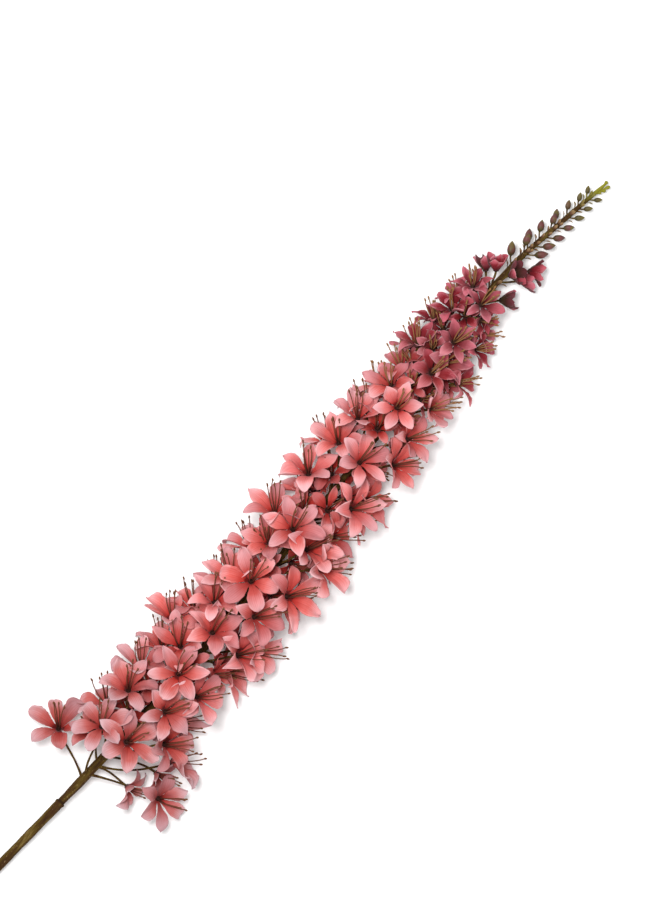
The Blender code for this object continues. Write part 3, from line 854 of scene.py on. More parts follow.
@lru_cache(maxsize=None)
def tube_tree():
    """Round or ridged tubes along the lines of a mesh, as thick as its points say."""
    inputs = {
        "Sides": ("Int", 8),
        "Ridges": ("Int", 3),
        "Ridge Depth": ("Float", 0.0),
        "Material": ("Material", None),
    }
    tree, given = new_tree("lily tubes", inputs)
    lines = add(tree, "GeometryNodeMeshToCurve", (given["Seeds"],))
    ring = add(tree, "GeometryNodeCurvePrimitiveCircle", (given["Sides"], 1.0))
    place = add(tree, "GeometryNodeInputPosition")
    turn = calculate("ARCTAN2", part(place, "Y"), part(place, "X"))
    swell = cosine(turn * given["Ridges"]) * given["Ridge Depth"] + 1.0
    ring = add(tree, "GeometryNodeSetPosition", {"Geometry": ring, "Position": place * swell})
    values = {"Curve": lines, "Profile Curve": ring, "Scale": carried(tree, "radius"), "Fill Caps": True}
    return finish_tree(tree, add(tree, "GeometryNodeCurveToMesh", values), given["Material"])


class Seeds:
    """Points that carry named numbers and directions, for a tree to grow something from."""

    def __init__(self):
        self.points, self.edges = [], []
        self.stores = {"FLOAT": {}, "FLOAT_VECTOR": {}}

    def note(self, point, **values):
        """Keep a point with what it carries."""
        self.points.append(point)
        for label, value in values.items():
            kind = "FLOAT_VECTOR" if isinstance(value, (tuple, Vector)) else "FLOAT"
            self.stores[kind].setdefault(label, []).append(value)

    def mesh(self, name):
        """The points as a mesh, joined by the edges."""
        mesh = bpy.data.meshes.new(name)
        mesh.from_pydata([tuple(p) for p in self.points], self.edges, [])
        for label, values in self.stores["FLOAT"].items():
            mesh.attributes.new(label, "FLOAT", "POINT").data.foreach_set("value", values)
        for label, values in self.stores["FLOAT_VECTOR"].items():
            flat = [number for value in values for number in value]
            mesh.attributes.new(label, "FLOAT_VECTOR", "POINT").data.foreach_set("vector", flat)
        return mesh


def grown(name, seeds, tree, settings, thickness=0.0):
    """Run a tree on its seeds and keep what grows as a plain closed mesh that rides on the root."""
    start = seeds.mesh(name + "_seeds")
    piece = bpy.data.objects.new(name, start)
    bpy.context.scene.collection.objects.link(piece)
    modifier = piece.modifiers.new("growth", "NODES")
    modifier.node_group = tree
    sockets = {item.name: item.identifier for item in tree.interface.items_tree}
    for label, value in settings.items():
        modifier[sockets[label]] = value
    if thickness:
        skin = piece.modifiers.new("fabric", "SOLIDIFY")
        skin.thickness = thickness
        skin.offset = 0.0
    depsgraph = bpy.context.evaluated_depsgraph_get()
    mesh = bpy.data.meshes.new_from_object(
        piece.evaluated_get(depsgraph), preserve_all_data_layers=True, depsgraph=depsgraph
    )
    piece.modifiers.clear()
    piece.data = mesh
    mesh.name = name
    bpy.data.meshes.remove(start)
    bm = bmesh.new()
    bm.from_mesh(mesh)
    bmesh.ops.recalc_face_normals(bm, faces=bm.faces)
    bm.to_mesh(mesh)
    bm.free()
    if not mesh.polygons:
        raise RuntimeError(f"{name} has no faces")
    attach(piece, "root")
    return piece


# Materials


def colour(red, green, blue):
    """A colour of the screen, from 0 to 255, as Blender's linear one."""

    def linear(value):
        value /= 255
        return value / 12.92 if value <= 0.04045 else ((value + 0.055) / 1.055) ** 2.4

    return (linear(red), linear(green), linear(blue), 1.0)


class Finish:
    """A Principled material in the making. A colour is a field, plain, or the name of a setting."""

    def __init__(self, name, settings, **constants):
        self.material = bpy.data.materials.new(name)
        self.material.use_nodes = True
        self.tree = self.material.node_tree
        self.settings = settings
        self.shader = self.tree.nodes["Principled BSDF"]
        for label, value in constants.items():
            self.shader.inputs[label.replace("_", " ")].default_value = value
        self.place = self.stretched((1.0, 1.0, 1.0))
        self.x = part(self.place, "X")

    def carried(self, name):
        """A number that the mesh carries."""
        return add(self.tree, "ShaderNodeAttribute", (), "Fac", attribute_name=name)

    def stretched(self, scale):
        """Object coordinates, stretched by a scale."""
        here = add(self.tree, "ShaderNodeTexCoord", (), "Object")
        return add(self.tree, "ShaderNodeMapping", {"Vector": here, "Scale": scale})

    def shade(self, value):
        """A colour, or the setting that it names."""
        return tuple(getattr(self.settings, value)) if isinstance(value, str) else value

    def mix(self, share, first, second, how="MIX"):
        """Two colours blended by a share, in one of Blender's ways."""
        values = (share, self.shade(first), self.shade(second))
        return add(self.tree, "ShaderNodeMix", values, data_type="RGBA", blend_type=how)

    def ramp(self, value, *stops):
        """A ramp through stops, each a place and a colour."""
        made = add(self.tree, "ShaderNodeValToRGB", (value,))
        elements = made.socket.node.color_ramp.elements
        stops = [(place, self.shade(name)) for place, name in stops]
        elements[0].position, elements[0].color = stops[0]
        elements[1].position, elements[1].color = stops[-1]
        for place, shade in stops[1:-1]:
            elements.new(place).color = shade
        return made

    def done(self, body, rough, height, strength, depth):
        """The material, with its colour, its roughness and a height field that roughens it."""
        values = {"Strength": strength, "Distance": depth * MM, "Height": height}
        relief = add(self.tree, "ShaderNodeBump", values)
        for label, field in (("Base Color", body), ("Roughness", rough), ("Normal", relief)):
            self.tree.links.new(field.socket, self.shader.inputs[label])
        return self.material


def petal_fabric(name, settings):
    """Pressed fabric: deep in the throat, paler to the frayed edge, with fine pleats and a midrib."""
    sheen = {"Sheen_Weight": 0.12, "Sheen_Roughness": 0.4, "Sheen_Tint": colour(255, 226, 232)}
    finish = Finish(name, settings, Specular_IOR_Level=0.18, **sheen)
    labels = ("share", "across", "tone", "shade", "shadow", "sepal")
    share, across, tone, shade, shadow, sepal = (finish.carried(label) for label in labels)
    mottle = noise(finish.place, 160.0)
    # Painted shade: the shadow share also moves the colour towards the deep throat colours
    deep = share + (mottle - 0.5) * 0.2 + (shade - 0.5) * 0.3 - shadow * 0.2
    coral = finish.ramp(deep, (0.0, "coral_throat"), (0.09, "coral_deep"), (0.5, "coral"), (1.0, "coral_end"))
    mauve = finish.ramp(deep, (0.0, "mauve_throat"), (0.1, "mauve_deep"), (0.55, "mauve"), (1.0, "mauve_end"))
    body = finish.mix(smooth_step(finish.x + (tone - 0.5) * 0.03, 0.165, 0.235), coral, mauve)

    frayed = abs(across) ** 5.0 * smooth_step(mottle, 0.35, 0.7) * 0.6 * smooth_step(share, 0.3, 0.7)
    body = finish.mix(clamped(frayed), body, "frayed_edge")
    grain = add(finish.tree, "ShaderNodeCombineXYZ", (share * 2.5, across * 7.0, shade * 40.0))
    streak = smooth_step(noise(grain, 1.0, 2.0), 0.48, 0.66) * smooth_step(share, 0.25, 0.8)
    body = finish.mix(streak * 0.3, body, "streak", "SCREEN")
    pleat = sine(across * 26.0 + mottle * 3.0) * 0.5 + 0.5
    rib = smooth_step(abs(across), 0.12, 0.0) * smooth_step(share, 0.95, 0.3)
    crease = clamped(rib * 0.22 + pleat * 0.14 * smooth_step(share, 0.05, 0.4))
    body = finish.mix(crease, body, "crease", "MULTIPLY")

    pale = smooth_step(tone, 0.35, 0.0) * smooth_step(share, 0.1, 0.5)
    body = finish.mix(pale * 0.3, body, "streak", "SCREEN")
    cloud = smooth_step(noise(finish.place, 45.0, 2.0), 0.42, 0.62)
    body = finish.mix(clamped(cloud * 0.25 + (tone - 0.5) * 0.8), body, "warm", "MULTIPLY")
    body = finish.mix(shade * shade * 0.8, body, "dim", "MULTIPLY")
    body = finish.mix(smooth_step(finish.x, -0.05, -0.15), body, "dusty", "MULTIPLY")
    # Painted shade: the shadow share makes petals darker and redder towards the stem
    body = finish.mix(shadow, body, "inner", "MULTIPLY")
    back = finish.ramp(deep, (0.0, "sepal_base"), (0.45, "sepal"), (1.0, "sepal_end"))
    body = finish.mix(sepal, body, back)
    weave = noise(finish.place, 1500.0, 2.0, 0.7)
    height = pleat * 0.6 + weave * 0.35 + mottle * 0.8 - rib * 1.2
    return finish.done(body, weave * 0.15 + 0.68, height, 0.45, 0.25)


def stem_plastic(name, settings):
    """Moulded brown plastic: streaks of olive and red, lengthwise fibres, green at the tip."""
    finish = Finish(name, settings, Specular_IOR_Level=0.08)
    fibre = noise(finish.stretched((0.08, 1.0, 1.0)), 1400.0, 4.0, 0.6)
    side = noise(finish.stretched((0.05, 1.0, 1.0)), 330.0, 1.0)
    patch = noise(finish.stretched((0.3, 1.0, 1.0)), 120.0, 3.0)
    grain = fibre * 0.4 + patch * 0.3 + side * 0.3
    browns = ((0.34, "stem_dark"), (0.48, "stem_brown"), (0.56, "stem_olive"), (0.68, "stem_light"))
    body = finish.ramp(grain, *browns)
    red = smooth_step(side, 0.58, 0.42) * smooth_step(patch, 0.3, 0.6)
    body = finish.mix(red * 0.5, body, "stem_red")
    green = smooth_step(finish.x + (patch - 0.5) * 0.03, 0.384, 0.404)
    body = finish.mix(green * 0.9, body, "tip_green")
    fleck = smooth_step(noise(finish.place, 900.0, 1.0), 0.68, 0.74)
    body = finish.mix(fleck * 0.5, body, "fleck")
    seam = abs(finish.x - ((SLEEVE_END + 0.5) * MM - MIDDLE.x))
    body = finish.mix(smooth_step(seam, 1.5 * MM, 0.5 * MM) * 0.85, body, "stem_dark")
    return finish.done(body, fibre * 0.2 + 0.55, fibre + patch * 0.7, 0.5, 0.3)


def stamen_finish(name, settings):
    """Dark brown filaments with brown anthers, and gold ones among the mauve blooms."""
    finish = Finish(name, settings, Specular_IOR_Level=0.2)
    grain = noise(finish.place, 700.0)
    share = finish.carried("share") + (grain - 0.5) * 0.12
    plain = finish.ramp(share, (0.0, "filament_dark"), (0.45, "filament"), (1.0, "anther"))
    gold = finish.ramp(share, (0.0, "filament_dark"), (0.3, "filament_gold"))
    mauve = smooth_step(finish.x + (grain - 0.5) * 0.02, 0.15, 0.2)
    body = finish.mix(mauve * 0.85, plain, gold)
    return finish.done(body, grain * 0.3 + 0.55, grain, 0.4, 0.15)


def bud_finish(name, settings):
    """Buds: olive where they start, brown mauve to the point, and greener towards the spike's tip."""
    finish = Finish(name, settings, Specular_IOR_Level=0.4)
    grain = noise(finish.place, 500.0)
    share = finish.carried("share") + (grain - 0.5) * 0.3
    mauve = finish.ramp(share, (0.0, "bud_base"), (0.3, "bud_brown"), (0.6, "bud_mauve"), (1.0, "bud_tip"))
    green = finish.ramp(share, (0.0, "green_base"), (0.6, "green"), (1.0, "green_tip"))
    patch = noise(finish.place, 170.0, 1.0)
    last = smooth_step(finish.x + (patch - 0.5) * 0.05, 0.36, 0.385)
    olive = clamped(last + smooth_step(patch, 0.5, 0.6) * 0.75)
    body = finish.mix(olive, mauve, green)
    return finish.done(body, grain * 0.25 + 0.45, grain, 0.35, 0.25)


def bract_skin(name, settings):
    """Scales on the stem: olive and brown, with a pale rim, the large ones leaf green."""
    finish = Finish(name, settings, Specular_IOR_Level=0.25)
    grain = noise(finish.place, 420.0)
    share = finish.carried("share") + (grain - 0.5) * 0.4
    body = finish.ramp(share, (0.05, "bud_base"), (0.3, "bud_brown"), (0.75, "bract_end"))
    fresh = clamped(smooth_step(finish.x, 0.37, 0.395) + smooth_step(finish.carried("tone"), 0.6, 0.9))
    body = finish.mix(fresh * 0.85, body, "bract_green")
    return finish.done(body, grain * 0.25 + 0.5, grain, 0.35, 0.2)


def plain_floor(name, settings):
    """A pale matt floor with a trace of unevenness."""
    finish = Finish(name, settings, Roughness=0.9, Specular_IOR_Level=0.2)
    pale = tuple(c * 0.985 for c in settings.floor_shade[:3]) + (1.0,)
    body = finish.mix(noise(finish.place, 30.0), "floor_shade", pale)
    finish.tree.links.new(body.socket, finish.shader.inputs["Base Color"])
    return finish.material


# What the pieces are made from


def petal_seeds(blooms):
    """A point for each petal of these blooms, with all that its petal needs to know."""
    seeds = Seeds()
    for bloom in blooms:
        centre, facing, level, upright = bloom_frame(bloom)
        whorl = {"centre": centre, "facing": facing, "level": level, "upright": upright}
        whorl.update(away=(facing.x, facing.y, 0.0), root=stem_point(bloom.root + bloom.rise))
        whorl.update(outward=outward(bloom.root, bloom.azimuth), floor=floor_layer(bloom) + 0.15)
        whorl.update(reach=max(bloom.reach, along(REACH, bloom.root)) * MM)
        half_open = bloom.stamens == 0
        rng = random.Random(SEED * 13 + int(bloom.root * 10))
        tone = rng.random()
        habit = rng.uniform(0.2, 1.0) if bloom.root < MAUVE_FROM else rng.uniform(-0.2, 0.6)
        for petal in range(PETALS):
            length, end, bow, twist, sway = petal_habit(bloom, petal)
            heading = math.radians(bloom.turn) + petal * math.tau / PETALS
            widen = HALF_OPEN_WIDTH if half_open else rng.uniform(*WIDTHS)
            own = {"phase": rng.random(), "shade": rng.random()}
            own["blunt"] = min(max(habit + rng.uniform(-0.5, 0.5), 0.0), 1.0)
            if half_open:
                own.update(curl=rng.uniform(*HALF_OPEN_CURLS), cup=HALF_OPEN_CUP)
                own.update(fold=rng.uniform(*HALF_OPEN_FOLDS))
            else:
                own.update(curl=rng.uniform(*CURLS) * bloom.length / BEND_LENGTH, cup=rng.uniform(*CUPS))
                own.update(fold=rng.uniform(*FOLDS) * bloom.length / BEND_LENGTH)
            own["sepal"] = 0.9 if half_open and rng.random() < 0.4 else 0.0
            own.update(length=length, end=end, bow=bow, twist=twist, sway=sway, tone=tone)
            own.update(heading=heading, half=bloom.length * PETAL_WIDTH / 2 * widen)
            seeds.note(centre, **whorl, **own)
    return seeds


def bract_seeds():
    """Small scales along the stem: below the buds, the half-open blooms and the last open ones."""
    seeds = Seeds()
    places = [(root - 1.5, azimuth, 6.8 - 0.03 * (root - 600)) for root, azimuth in BUDS]
    flat = [(root + 3, azimuth * 0.22, 5.6) for root, azimuth in BUDS]
    upper = [(b.root - 2, b.azimuth, 7.5) for b in place_blooms().blooms if b.root > BRACTS_FROM]
    for i, (root, azimuth, length) in enumerate([*places, *flat, *upper, *GREEN_BRACTS]):
        rng = random.Random(SEED * 3 + i)
        point, forward, _, _ = stem_frame(root)
        out = outward(root, azimuth)
        centre = point + out * (along(STEM_RADIUS, root) - HOLE) * MM
        whorl = {"centre": centre, "facing": forward, "level": out, "upright": forward.cross(out)}
        whorl.update(away=(0.0, 0.0, 0.0), root=point, outward=out, floor=FLOOR_GAP, reach=MM)
        end = rng.uniform(*BRACT_ANGLES) - (BRACT_LAID if (root, azimuth, length) in flat else 0)
        own = {"length": length * rng.uniform(0.85, 1.15), "end": math.radians(end)}
        own.update(twist=rng.uniform(-0.3, 0.3), heading=rng.uniform(-0.2, 0.2), phase=rng.random())
        own.update(curl=rng.uniform(-1.0, 0.4), half=length * BRACT_WIDTH, blunt=0.2, bow=0.5)
        own.update(sway=0.0, cup=0.0, fold=0.0)
        own["tone"] = 1.0 if (root, azimuth, length) in GREEN_BRACTS else rng.uniform(0.0, 0.5)
        seeds.note(centre, **whorl, **own)
    return seeds


def line_seeds(lines):
    """Lines of (point, radius in mm, share of the way), whose points carry the last two."""
    seeds = Seeds()
    for line in lines:
        first = len(seeds.points)
        for point, radius, share in line:
            seeds.note(point, radius=radius * MM, share=share)
        seeds.edges += [(i, i + 1) for i in range(first, len(seeds.points) - 1)]
    return seeds


def stem_line():
    """The main stem, with the lip where its lower sleeve ends."""
    first, last = STEM_ROUTE[0][0], STEM_ROUTE[-1][0]
    stations = [first + (last - first) * i / 200 for i in range(201)]
    stations = [(x, 0.0) for x in stations if abs(x - SLEEVE_END) > 5]
    line = []
    for x, extra in sorted(stations + [(SLEEVE_END + x, extra) for x, extra in SLEEVE_SHAPE]):
        knot = 0.12 * math.sin(x * 0.23) + 0.08 * math.sin(x * 0.71 + 1)
        if x > SLEEVE_END:
            extra -= 0.5 * math.exp((SLEEVE_END - x) / 14)
        rounding = 0.45 * max(0.0, 1 - (last - x) / 14)
        radius = along(STEM_RADIUS, x) * (1 - rounding) + extra + knot
        line.append((stem_point(x), radius, (x - first) / (last - first)))
    return line


def flower_stalk_line(bloom):
    """A flower stalk: flared where it leaves the stem, and thicker again under the petals."""
    route = stalk_route(bloom)
    line = []
    for i in range(17):
        t = i / 16
        flare = 0.75 * math.exp(-t * 14) + 0.25 * t**6
        wobble = 0.04 * math.sin(t * 19 + bloom.root)
        line.append((laid(bezier(route, t), FLOOR_GAP + STALK_RADIUS), 0.82 + flare + wobble, t))
    return line


def knob_line(bloom):
    """The dark knob in a bloom's throat."""
    centre, facing, _, _ = bloom_frame(bloom)
    return [(centre + facing * far * MM, radius, 0.0) for far, radius in KNOB_SHAPE]


def stamen_lines(bloom, count):
    """A bloom's filaments and anthers: wavy lines from its knob, swept towards the spike's tip."""
    centre, facing, level, upright = bloom_frame(bloom)
    sweep = stamen_sweep(bloom)
    rng = random.Random(SEED * 31 + int(bloom.root * 10))
    lines = []
    turn = rng.uniform(0, 1)
    for i in range(count):
        angle = (turn + i + rng.uniform(-0.25, 0.25)) * math.tau / count
        spread = level * math.cos(angle) + upright * math.sin(angle)
        aim = (facing + sweep + spread * rng.uniform(0.12, 0.5)).normalized()
        length = bloom.length * STAMEN_LENGTH * rng.uniform(0.82, 1.12) * MM
        start = centre + facing * KNOB_LENGTH * 0.6 * MM + spread * 0.7 * MM
        bend = level * rng.uniform(-1, 1) + upright * rng.uniform(-1, 1)
        route = (
            start,
            start + (facing + spread * 0.3).normalized() * length * 0.35,
            start + aim * length * 0.72 + bend * 2.4 * MM,
            start + aim * length,
        )
        before, end = bezier(route, 7 / 8), bezier(route, 1.0)
        lean = ((end - before).normalized() + bend * 0.35).normalized()
        size = rng.uniform(0.85, 1.15)
        steps = [i / 8 for i in range(9)]
        lines.append([(laid(bezier(route, t), FLOOR_GAP + 0.3), 0.52 - 0.1 * t, 0.85 * t) for t in steps])
        tip = [(end + lean * far * size * MM, radius) for far, radius in ANTHER_SHAPE]
        lines.append([(laid(point, FLOOR_GAP + 0.4), radius, 1.0) for point, radius in tip])
    return lines


def bud_lines():
    """The lines of the buds' short stalks, and those of the closed buds, drawn out to a point."""
    stalks, buds = [], []
    first, last = BUD_RUN
    for root, azimuth in BUDS:
        share = (root - first) / (last - first)
        reach, length, radius = (a + (b - a) * share for a, b in (BUD_REACH, BUD_LENGTH, BUD_RADIUS))
        point, forward, _, _ = stem_frame(root)
        out = outward(root, azimuth)
        base = point + (out + forward) * reach * MM
        aim = (out * BUD_LEAN + forward).normalized()
        buds.append([(laid(base + aim * length * t * MM, radius * k), radius * k, t) for t, k in BUD_SHAPE])
        way = base - point
        leave = point + (way.normalized() + forward * 0.4).normalized() * way.length * 0.5
        route = (point, leave, base - aim * way.length * 0.3, base + aim * 0.5 * MM)
        line = []
        for i in range(9):
            line.append((bezier(route, i / 8), 0.55 + 0.45 * math.exp(-i) + 0.25 * (i / 8) ** 4, i / 8))
        stalks.append(line)
    return stalks, buds


def tip_lines():
    """The stem's last green shoots, each with a swollen end: one that ends it and some beside it."""
    lines = []
    for back, azimuth, spread, length in TIP_SHOOTS:
        point, forward, _, _ = stem_frame(STEM_ROUTE[-1][0] - back)
        out = outward(STEM_ROUTE[-1][0] - back, azimuth)
        aim = (forward + out * spread).normalized()
        lines.append([(point + aim * far * length * MM, radius, 1.0) for far, radius in SHOOT_SHAPE])
    return lines


# Settings


def length_setting(label, about, default, low=0.0, high=1.0):
    """A length that the user may change."""
    limits = {"default": default, "min": low, "max": high}
    return bpy.props.FloatProperty(name=label, description=about, unit="LENGTH", precision=5, **limits)


def share_setting(label, about, default, high=1.0):
    """A plain share or strength that the user may change."""
    limits = {"default": default, "min": 0.0, "max": high}
    return bpy.props.FloatProperty(name=label, description=about, subtype="FACTOR", **limits)


def count_setting(label, about, default, high):
    """A number of things that the user may change."""
    return bpy.props.IntProperty(name=label, description=about, default=default, min=3, max=high)


def colour_setting(label, about, *shade):
    """A colour that the user may change, given as it looks on a screen, from 0 to 255."""
    limits = {"default": colour(*shade), "size": 4, "min": 0.0, "max": 1.0}
    return bpy.props.FloatVectorProperty(name=label, description=about, subtype="COLOR", **limits)


class PetalSettings(bpy.types.PropertyGroup):
    """Sizes and colours of the fabric petals."""

    rows: count_setting("Rows", "Rows of points along a petal", 19, 40)
    columns: count_setting("Columns", "Points across a petal", 11, 40)
    inner_rows: count_setting("Inner rows", "Rows of points along a petal deep in the spike", 13, 40)
    inner_columns: count_setting("Inner columns", "Points across a petal deep in the spike", 7, 40)
    thickness: length_setting("Thickness", "Thickness of the fabric", 0.3 * MM, 0.05 * MM, 1.0 * MM)
    ruffle: share_setting("Ruffle", "Height of the waves along the edge, mm", 0.9, 3.0)
    ragged: share_setting("Ragged", "How frayed the edge is", 0.08)
    coral_throat: colour_setting("Coral throat", "Coral petals where they meet", 104, 20, 18)
    coral_deep: colour_setting("Coral base", "Coral petals near their base", 176, 48, 40)
    coral: colour_setting("Coral", "Coral petals half way", 204, 100, 94)
    coral_end: colour_setting("Coral end", "Coral petals at the tip", 228, 180, 184)
    mauve_throat: colour_setting("Mauve throat", "Mauve petals where they meet", 66, 6, 14)
    mauve_deep: colour_setting("Mauve base", "Mauve petals near their base", 92, 4, 16)
    mauve: colour_setting("Mauve", "Mauve petals half way", 128, 22, 36)
    mauve_end: colour_setting("Mauve end", "Mauve petals at the tip", 198, 104, 120)
    sepal_base: colour_setting("Back base", "Backs of half-open petals at their base", 48, 46, 16)
    sepal: colour_setting("Back", "Backs of half-open petals half way", 46, 28, 18)
    sepal_end: colour_setting("Back end", "Backs of half-open petals at the tip", 84, 34, 42)
    streak: colour_setting("Streak", "Paler streaks along a petal", 150, 110, 118)
    frayed_edge: colour_setting("Frayed edge", "Bare threads along the edge", 226, 190, 192)
    crease: colour_setting("Crease", "Shade in the pleats and the midrib", 186, 110, 108)
    warm: colour_setting("Warmth", "Where the dye is stronger", 240, 190, 184)
    dim: colour_setting("Dim", "Petals that came out darker", 200, 156, 158)
    dusty: colour_setting("Dusty", "The lowest blooms, where the dye is duller", 228, 248, 250)
    # Painted shade: the colour that darkens the petals towards the stem
    inner: colour_setting("Inner", "Painted shade towards the stem", 222, 122, 108)


class StalkSettings(bpy.types.PropertyGroup):
    """Sizes and colours of the stem, flower stalks and stamens."""

    stem_sides: count_setting("Stem sides", "Sides of the stem", 64, 128)
    ridges: count_setting("Ridges", "Fine ridges round the stem", 16, 40)
    ridge_depth: share_setting("Ridge depth", "Depth of the ridges, as a share of the radius", 0.035)
    stalk_sides: count_setting("Stalk sides", "Sides of a flower stalk", 9, 32)
    knob_sides: count_setting("Knob sides", "Sides of a knob and of a tip shoot", 10, 32)
    filament_sides: count_setting("Filament sides", "Sides of a filament and its anther", 5, 16)
    filaments: count_setting("Filaments", "Stamens of each bloom", 4, 12)
    stem_dark: colour_setting("Stem dark", "Darkest fibres of the stem", 38, 22, 6)
    stem_brown: colour_setting("Stem brown", "The stem's main brown", 62, 42, 11)
    stem_olive: colour_setting("Stem olive", "Olive streaks of the stem", 80, 62, 20)
    stem_light: colour_setting("Stem light", "Lightest fibres of the stem", 118, 98, 58)
    stem_red: colour_setting("Stem red", "Reddish side of the stem", 58, 32, 18)
    tip_green: colour_setting("Tip green", "The stem at its tip", 132, 130, 40)
    fleck: colour_setting("Fleck", "Tiny pale flecks in the plastic", 168, 142, 100)
    filament_dark: colour_setting("Filament base", "Knob and lower filament", 44, 20, 14)
    filament: colour_setting("Filament", "Upper filament", 104, 56, 40)
    filament_gold: colour_setting("Filament gold", "Upper filament among the mauve", 138, 98, 60)
    anther: colour_setting("Anther", "The anthers", 104, 66, 42)


class BudSettings(bpy.types.PropertyGroup):
    """Sizes and colours of the buds and bracts."""

    sides: count_setting("Sides", "Sides of a bud", 15, 40)
    lobe_depth: share_setting("Lobes", "Depth of a bud's three lobes, as a share of its radius", 0.05)
    bract_rows: count_setting("Bract rows", "Rows of points along a bract", 9, 40)
    bract_columns: count_setting("Bract columns", "Points across a bract", 7, 40)
    bract_thickness: length_setting("Bract", "Thickness of a bract", 0.35 * MM, 0.05 * MM, 1.0 * MM)
    bud_base: colour_setting("Bud base", "A bud where it starts", 62, 54, 20)
    bud_brown: colour_setting("Bud brown", "A bud's lower half", 78, 42, 28)
    bud_mauve: colour_setting("Bud mauve", "A bud's upper half", 98, 50, 48)
    bud_tip: colour_setting("Bud tip", "A bud's point", 70, 40, 34)
    green_base: colour_setting("Green base", "A green bud where it starts", 56, 50, 14)
    green: colour_setting("Green", "A green bud's upper half", 84, 72, 30)
    green_tip: colour_setting("Green tip", "A green bud's point", 100, 90, 30)
    bract_end: colour_setting("Bract end", "The pale rim of a bract", 134, 106, 72)
    bract_green: colour_setting("Bract green", "Bracts that stay green", 108, 104, 34)


class StageSettings(bpy.types.PropertyGroup):
    """The floor and the light."""

    floor_size: length_setting("Floor", "Width of the floor", 8.0, 1.0, 40.0)
    floor_shade: colour_setting("Floor shade", "Colour of the floor", 250, 250, 250)
    key_power: bpy.props.FloatProperty(
        name="Key light", description="Power of the soft key light", default=41.0, min=0.0, unit="POWER"
    )
    key_size: length_setting("Key size", "Width of the soft key light", 0.5, 0.1, 10.0)
    sky: share_setting("Sky", "Strength of the even light from all round", 0.79, 4.0)


# Operators


class LILY_OT_petals(bpy.types.Operator):
    """Make the fabric petals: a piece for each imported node, and two for the inner blooms"""

    bl_idname = "lily.petals"
    bl_label = "Petals"

    def execute(self, context):
        settings = context.scene.lily_petals
        coral = petal_fabric("coral_fabric", settings)
        mauve = petal_fabric("mauve_fabric", settings)
        values = {"Ruffle": settings.ruffle, "Ragged": settings.ragged}
        for node, members in bloom_groups().items():
            is_mauve = members[0].root > MAUVE_FROM
            values["Material"] = mauve if is_mauve else coral
            values.update(Rows=settings.rows, Columns=settings.columns)
            name = node.replace("bloom", "petals")
            piece = grown(name, petal_seeds(members), petal_tree(), values, settings.thickness)
            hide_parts(node)
        for name, finish, is_mauve in (("coral", coral, False), ("mauve", mauve, True)):
            members = [b for b in inner_blooms() if (b.root > MAUVE_FROM) == is_mauve]
            values.update(Rows=settings.inner_rows, Columns=settings.inner_columns, Material=finish)
            seeds = petal_seeds(members)
            piece = grown(f"inner_{name}", seeds, petal_tree(), values, settings.thickness)
        return {"FINISHED"}


def keep_stalk(piece):
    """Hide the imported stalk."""
    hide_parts("stalk")


def tubes(name, lines, sides, finish, ridges=3, depth=0.0):
    """A piece of tubes along lines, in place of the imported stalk."""
    values = {"Sides": sides, "Ridges": ridges, "Ridge Depth": depth, "Material": finish}
    keep_stalk(grown(name, line_seeds(lines), tube_tree(), values))


class LILY_OT_stem(bpy.types.Operator):
    """Make the ridged main stem with the lip of its sleeve"""

    bl_idname = "lily.stem"
    bl_label = "Stem"

    def execute(self, context):
        settings = context.scene.lily_stalks
        finish = stem_plastic("stem_plastic", settings)
        tubes("stem", [stem_line()], settings.stem_sides, finish, settings.ridges, settings.ridge_depth)
        return {"FINISHED"}


class LILY_OT_flower_stalks(bpy.types.Operator):
    """Make the thin stalk of every bloom and bud"""

    bl_idname = "lily.flower_stalks"
    bl_label = "Flower stalks"

    def execute(self, context):
        settings = context.scene.lily_stalks
        lines = [flower_stalk_line(bloom) for bloom in place_blooms().blooms + inner_blooms()]
        lines += bud_lines()[0]
        tubes("flower_stalks", lines, settings.stalk_sides, bpy.data.materials["stem_plastic"])
        return {"FINISHED"}


class LILY_OT_stamens(bpy.types.Operator):
    """Make the knobs, filaments and anthers of the open blooms"""

    bl_idname = "lily.stamens"
    bl_label = "Stamens"

    def execute(self, context):
        settings = context.scene.lily_stalks
        finish = stamen_finish("stamen_brown", settings)
        blooms = place_blooms().blooms + inner_blooms()
        tubes("knobs", [knob_line(bloom) for bloom in blooms], settings.knob_sides, finish)
        lines = [line for b in blooms if b.stamens for line in stamen_lines(b, settings.filaments)]
        tubes("stamens", lines, settings.filament_sides, finish)
        return {"FINISHED"}


class LILY_OT_buds(bpy.types.Operator):
    """Make the closed buds towards the tip"""

    bl_idname = "lily.buds"
    bl_label = "Buds"

    def execute(self, context):
        settings = context.scene.lily_buds
        finish = bud_finish("bud_skin", settings)
        tubes("buds", bud_lines()[1], settings.sides, finish, depth=settings.lobe_depth)
        return {"FINISHED"}


class LILY_OT_bracts(bpy.types.Operator):
    """Make the small scales on the stem and the green shoots at its tip"""

    bl_idname = "lily.bracts"
    bl_label = "Bracts"

    def execute(self, context):
        settings = context.scene.lily_buds
        values = {"Rows": settings.bract_rows, "Columns": settings.bract_columns}
        values.update(Ruffle=0.2, Ragged=0.03, Material=bract_skin("bract_skin", settings))
        keep_stalk(grown("bracts", bract_seeds(), petal_tree(), values, settings.bract_thickness))
        sides = context.scene.lily_stalks.knob_sides
        tubes("tip_knobs", tip_lines(), sides, bpy.data.materials["stem_plastic"])
        return {"FINISHED"}


def stand(name, data):
    """An object of this data, in the scene."""
    made = bpy.data.objects.new(name, data)
    bpy.context.scene.collection.objects.link(made)
    return made


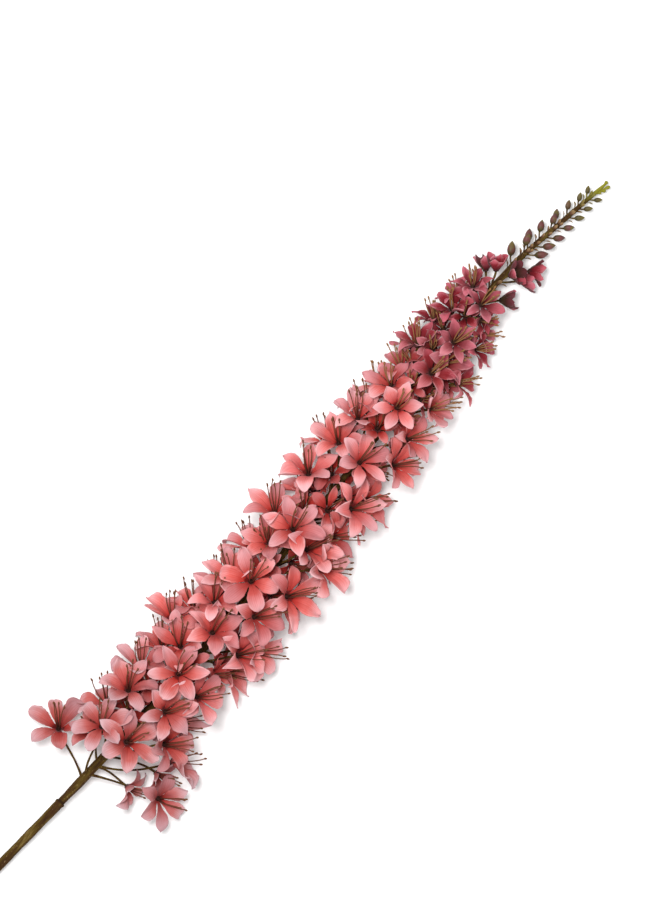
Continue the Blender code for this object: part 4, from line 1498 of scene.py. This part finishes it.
def make_camera():
    """The photograph's view: straight down, with the spike running to the upper right."""
    right = Vector((STEM_RIGHT, -STEM_UP, 0.0))
    up = Vector((STEM_UP, STEM_RIGHT, 0.0))
    across, down = PHOTO_WIDTH / 2 - STEM_START[0], STEM_START[1] - PHOTO_HEIGHT / 2
    data = bpy.data.cameras.new("camera")
    data.lens = data.sensor_width * (CAMERA_HEIGHT - EYE_LEVEL) / (PHOTO_HEIGHT * PIXEL)
    data.clip_end = 100.0
    camera = stand("camera", data)
    camera.location = (right * across + up * down) * PIXEL - MIDDLE + UP * CAMERA_HEIGHT
    camera.rotation_euler = (0.0, 0.0, math.atan2(right.y, right.x))
    bpy.context.scene.camera = camera


class LILY_OT_stage(bpy.types.Operator):
    """Make the floor, the soft light and the camera"""

    bl_idname = "lily.stage"
    bl_label = "Stage"

    def execute(self, context):
        settings = context.scene.lily_stage
        half = settings.floor_size / 2
        corners = [(-half, -half, 0.0), (half, -half, 0.0), (half, half, 0.0), (-half, half, 0.0)]
        mesh = bpy.data.meshes.new("floor")
        mesh.from_pydata(corners, [], [(0, 1, 2, 3)])
        mesh.materials.append(plain_floor("pale_floor", settings))
        floor = stand("floor", mesh)
        make_camera()
        key = bpy.data.lights.new("key", "AREA")
        key.energy, key.size = settings.key_power, settings.key_size
        lamp = stand("key", key)
        lean = Vector((STEM_UP, STEM_RIGHT, 0.0)) * KEY_UP + Vector((-STEM_RIGHT, STEM_UP, 0.0)) * KEY_LEFT
        lamp.location = KEY_TARGET + (lean + UP).normalized() * KEY_DISTANCE
        lamp.rotation_euler = (KEY_TARGET - lamp.location).to_track_quat("-Z", "Y").to_euler()
        world = bpy.data.worlds.new("studio")
        world.use_nodes = True
        background = world.node_tree.nodes["Background"]
        background.inputs["Color"].default_value = (1.0, 1.0, 1.0, 1.0)
        background.inputs["Strength"].default_value = settings.sky
        context.scene.world = world
        context.scene.view_settings.view_transform = "Standard"
        return {"FINISHED"}


OPERATORS = (
    LILY_OT_petals,
    LILY_OT_stem,
    LILY_OT_flower_stalks,
    LILY_OT_stamens,
    LILY_OT_buds,
    LILY_OT_bracts,
    LILY_OT_stage,
)


class LILY_PT_panel(bpy.types.Panel):
    """The pieces of the spike, in the order in which they are made"""

    bl_idname = "LILY_PT_panel"
    bl_label = "Foxtail Lily Spike"
    bl_space_type = "VIEW_3D"
    bl_region_type = "UI"
    bl_category = "Foxtail Lily"

    def draw(self, context):
        for operator in OPERATORS:
            self.layout.operator(operator.bl_idname)


SETTINGS = {
    "lily_petals": PetalSettings,
    "lily_stalks": StalkSettings,
    "lily_buds": BudSettings,
    "lily_stage": StageSettings,
}


def register():
    """Register the settings, the operators and the panel."""
    for name, group in SETTINGS.items():
        bpy.utils.register_class(group)
        setattr(bpy.types.Scene, name, bpy.props.PointerProperty(type=group))
    for made in (*OPERATORS, LILY_PT_panel):
        bpy.utils.register_class(made)


def unregister():
    """Take the panel, the operators and the settings out again."""
    for made in (LILY_PT_panel, *reversed(OPERATORS)):
        bpy.utils.unregister_class(made)
    for name, group in SETTINGS.items():
        delattr(bpy.types.Scene, name)
        bpy.utils.unregister_class(group)


def main():
    """Make every piece and the stage."""
    register()
    for operator in OPERATORS:
        group, name = operator.bl_idname.split(".")
        getattr(getattr(bpy.ops, group), name)()


if __name__ == "__main__":
    main()
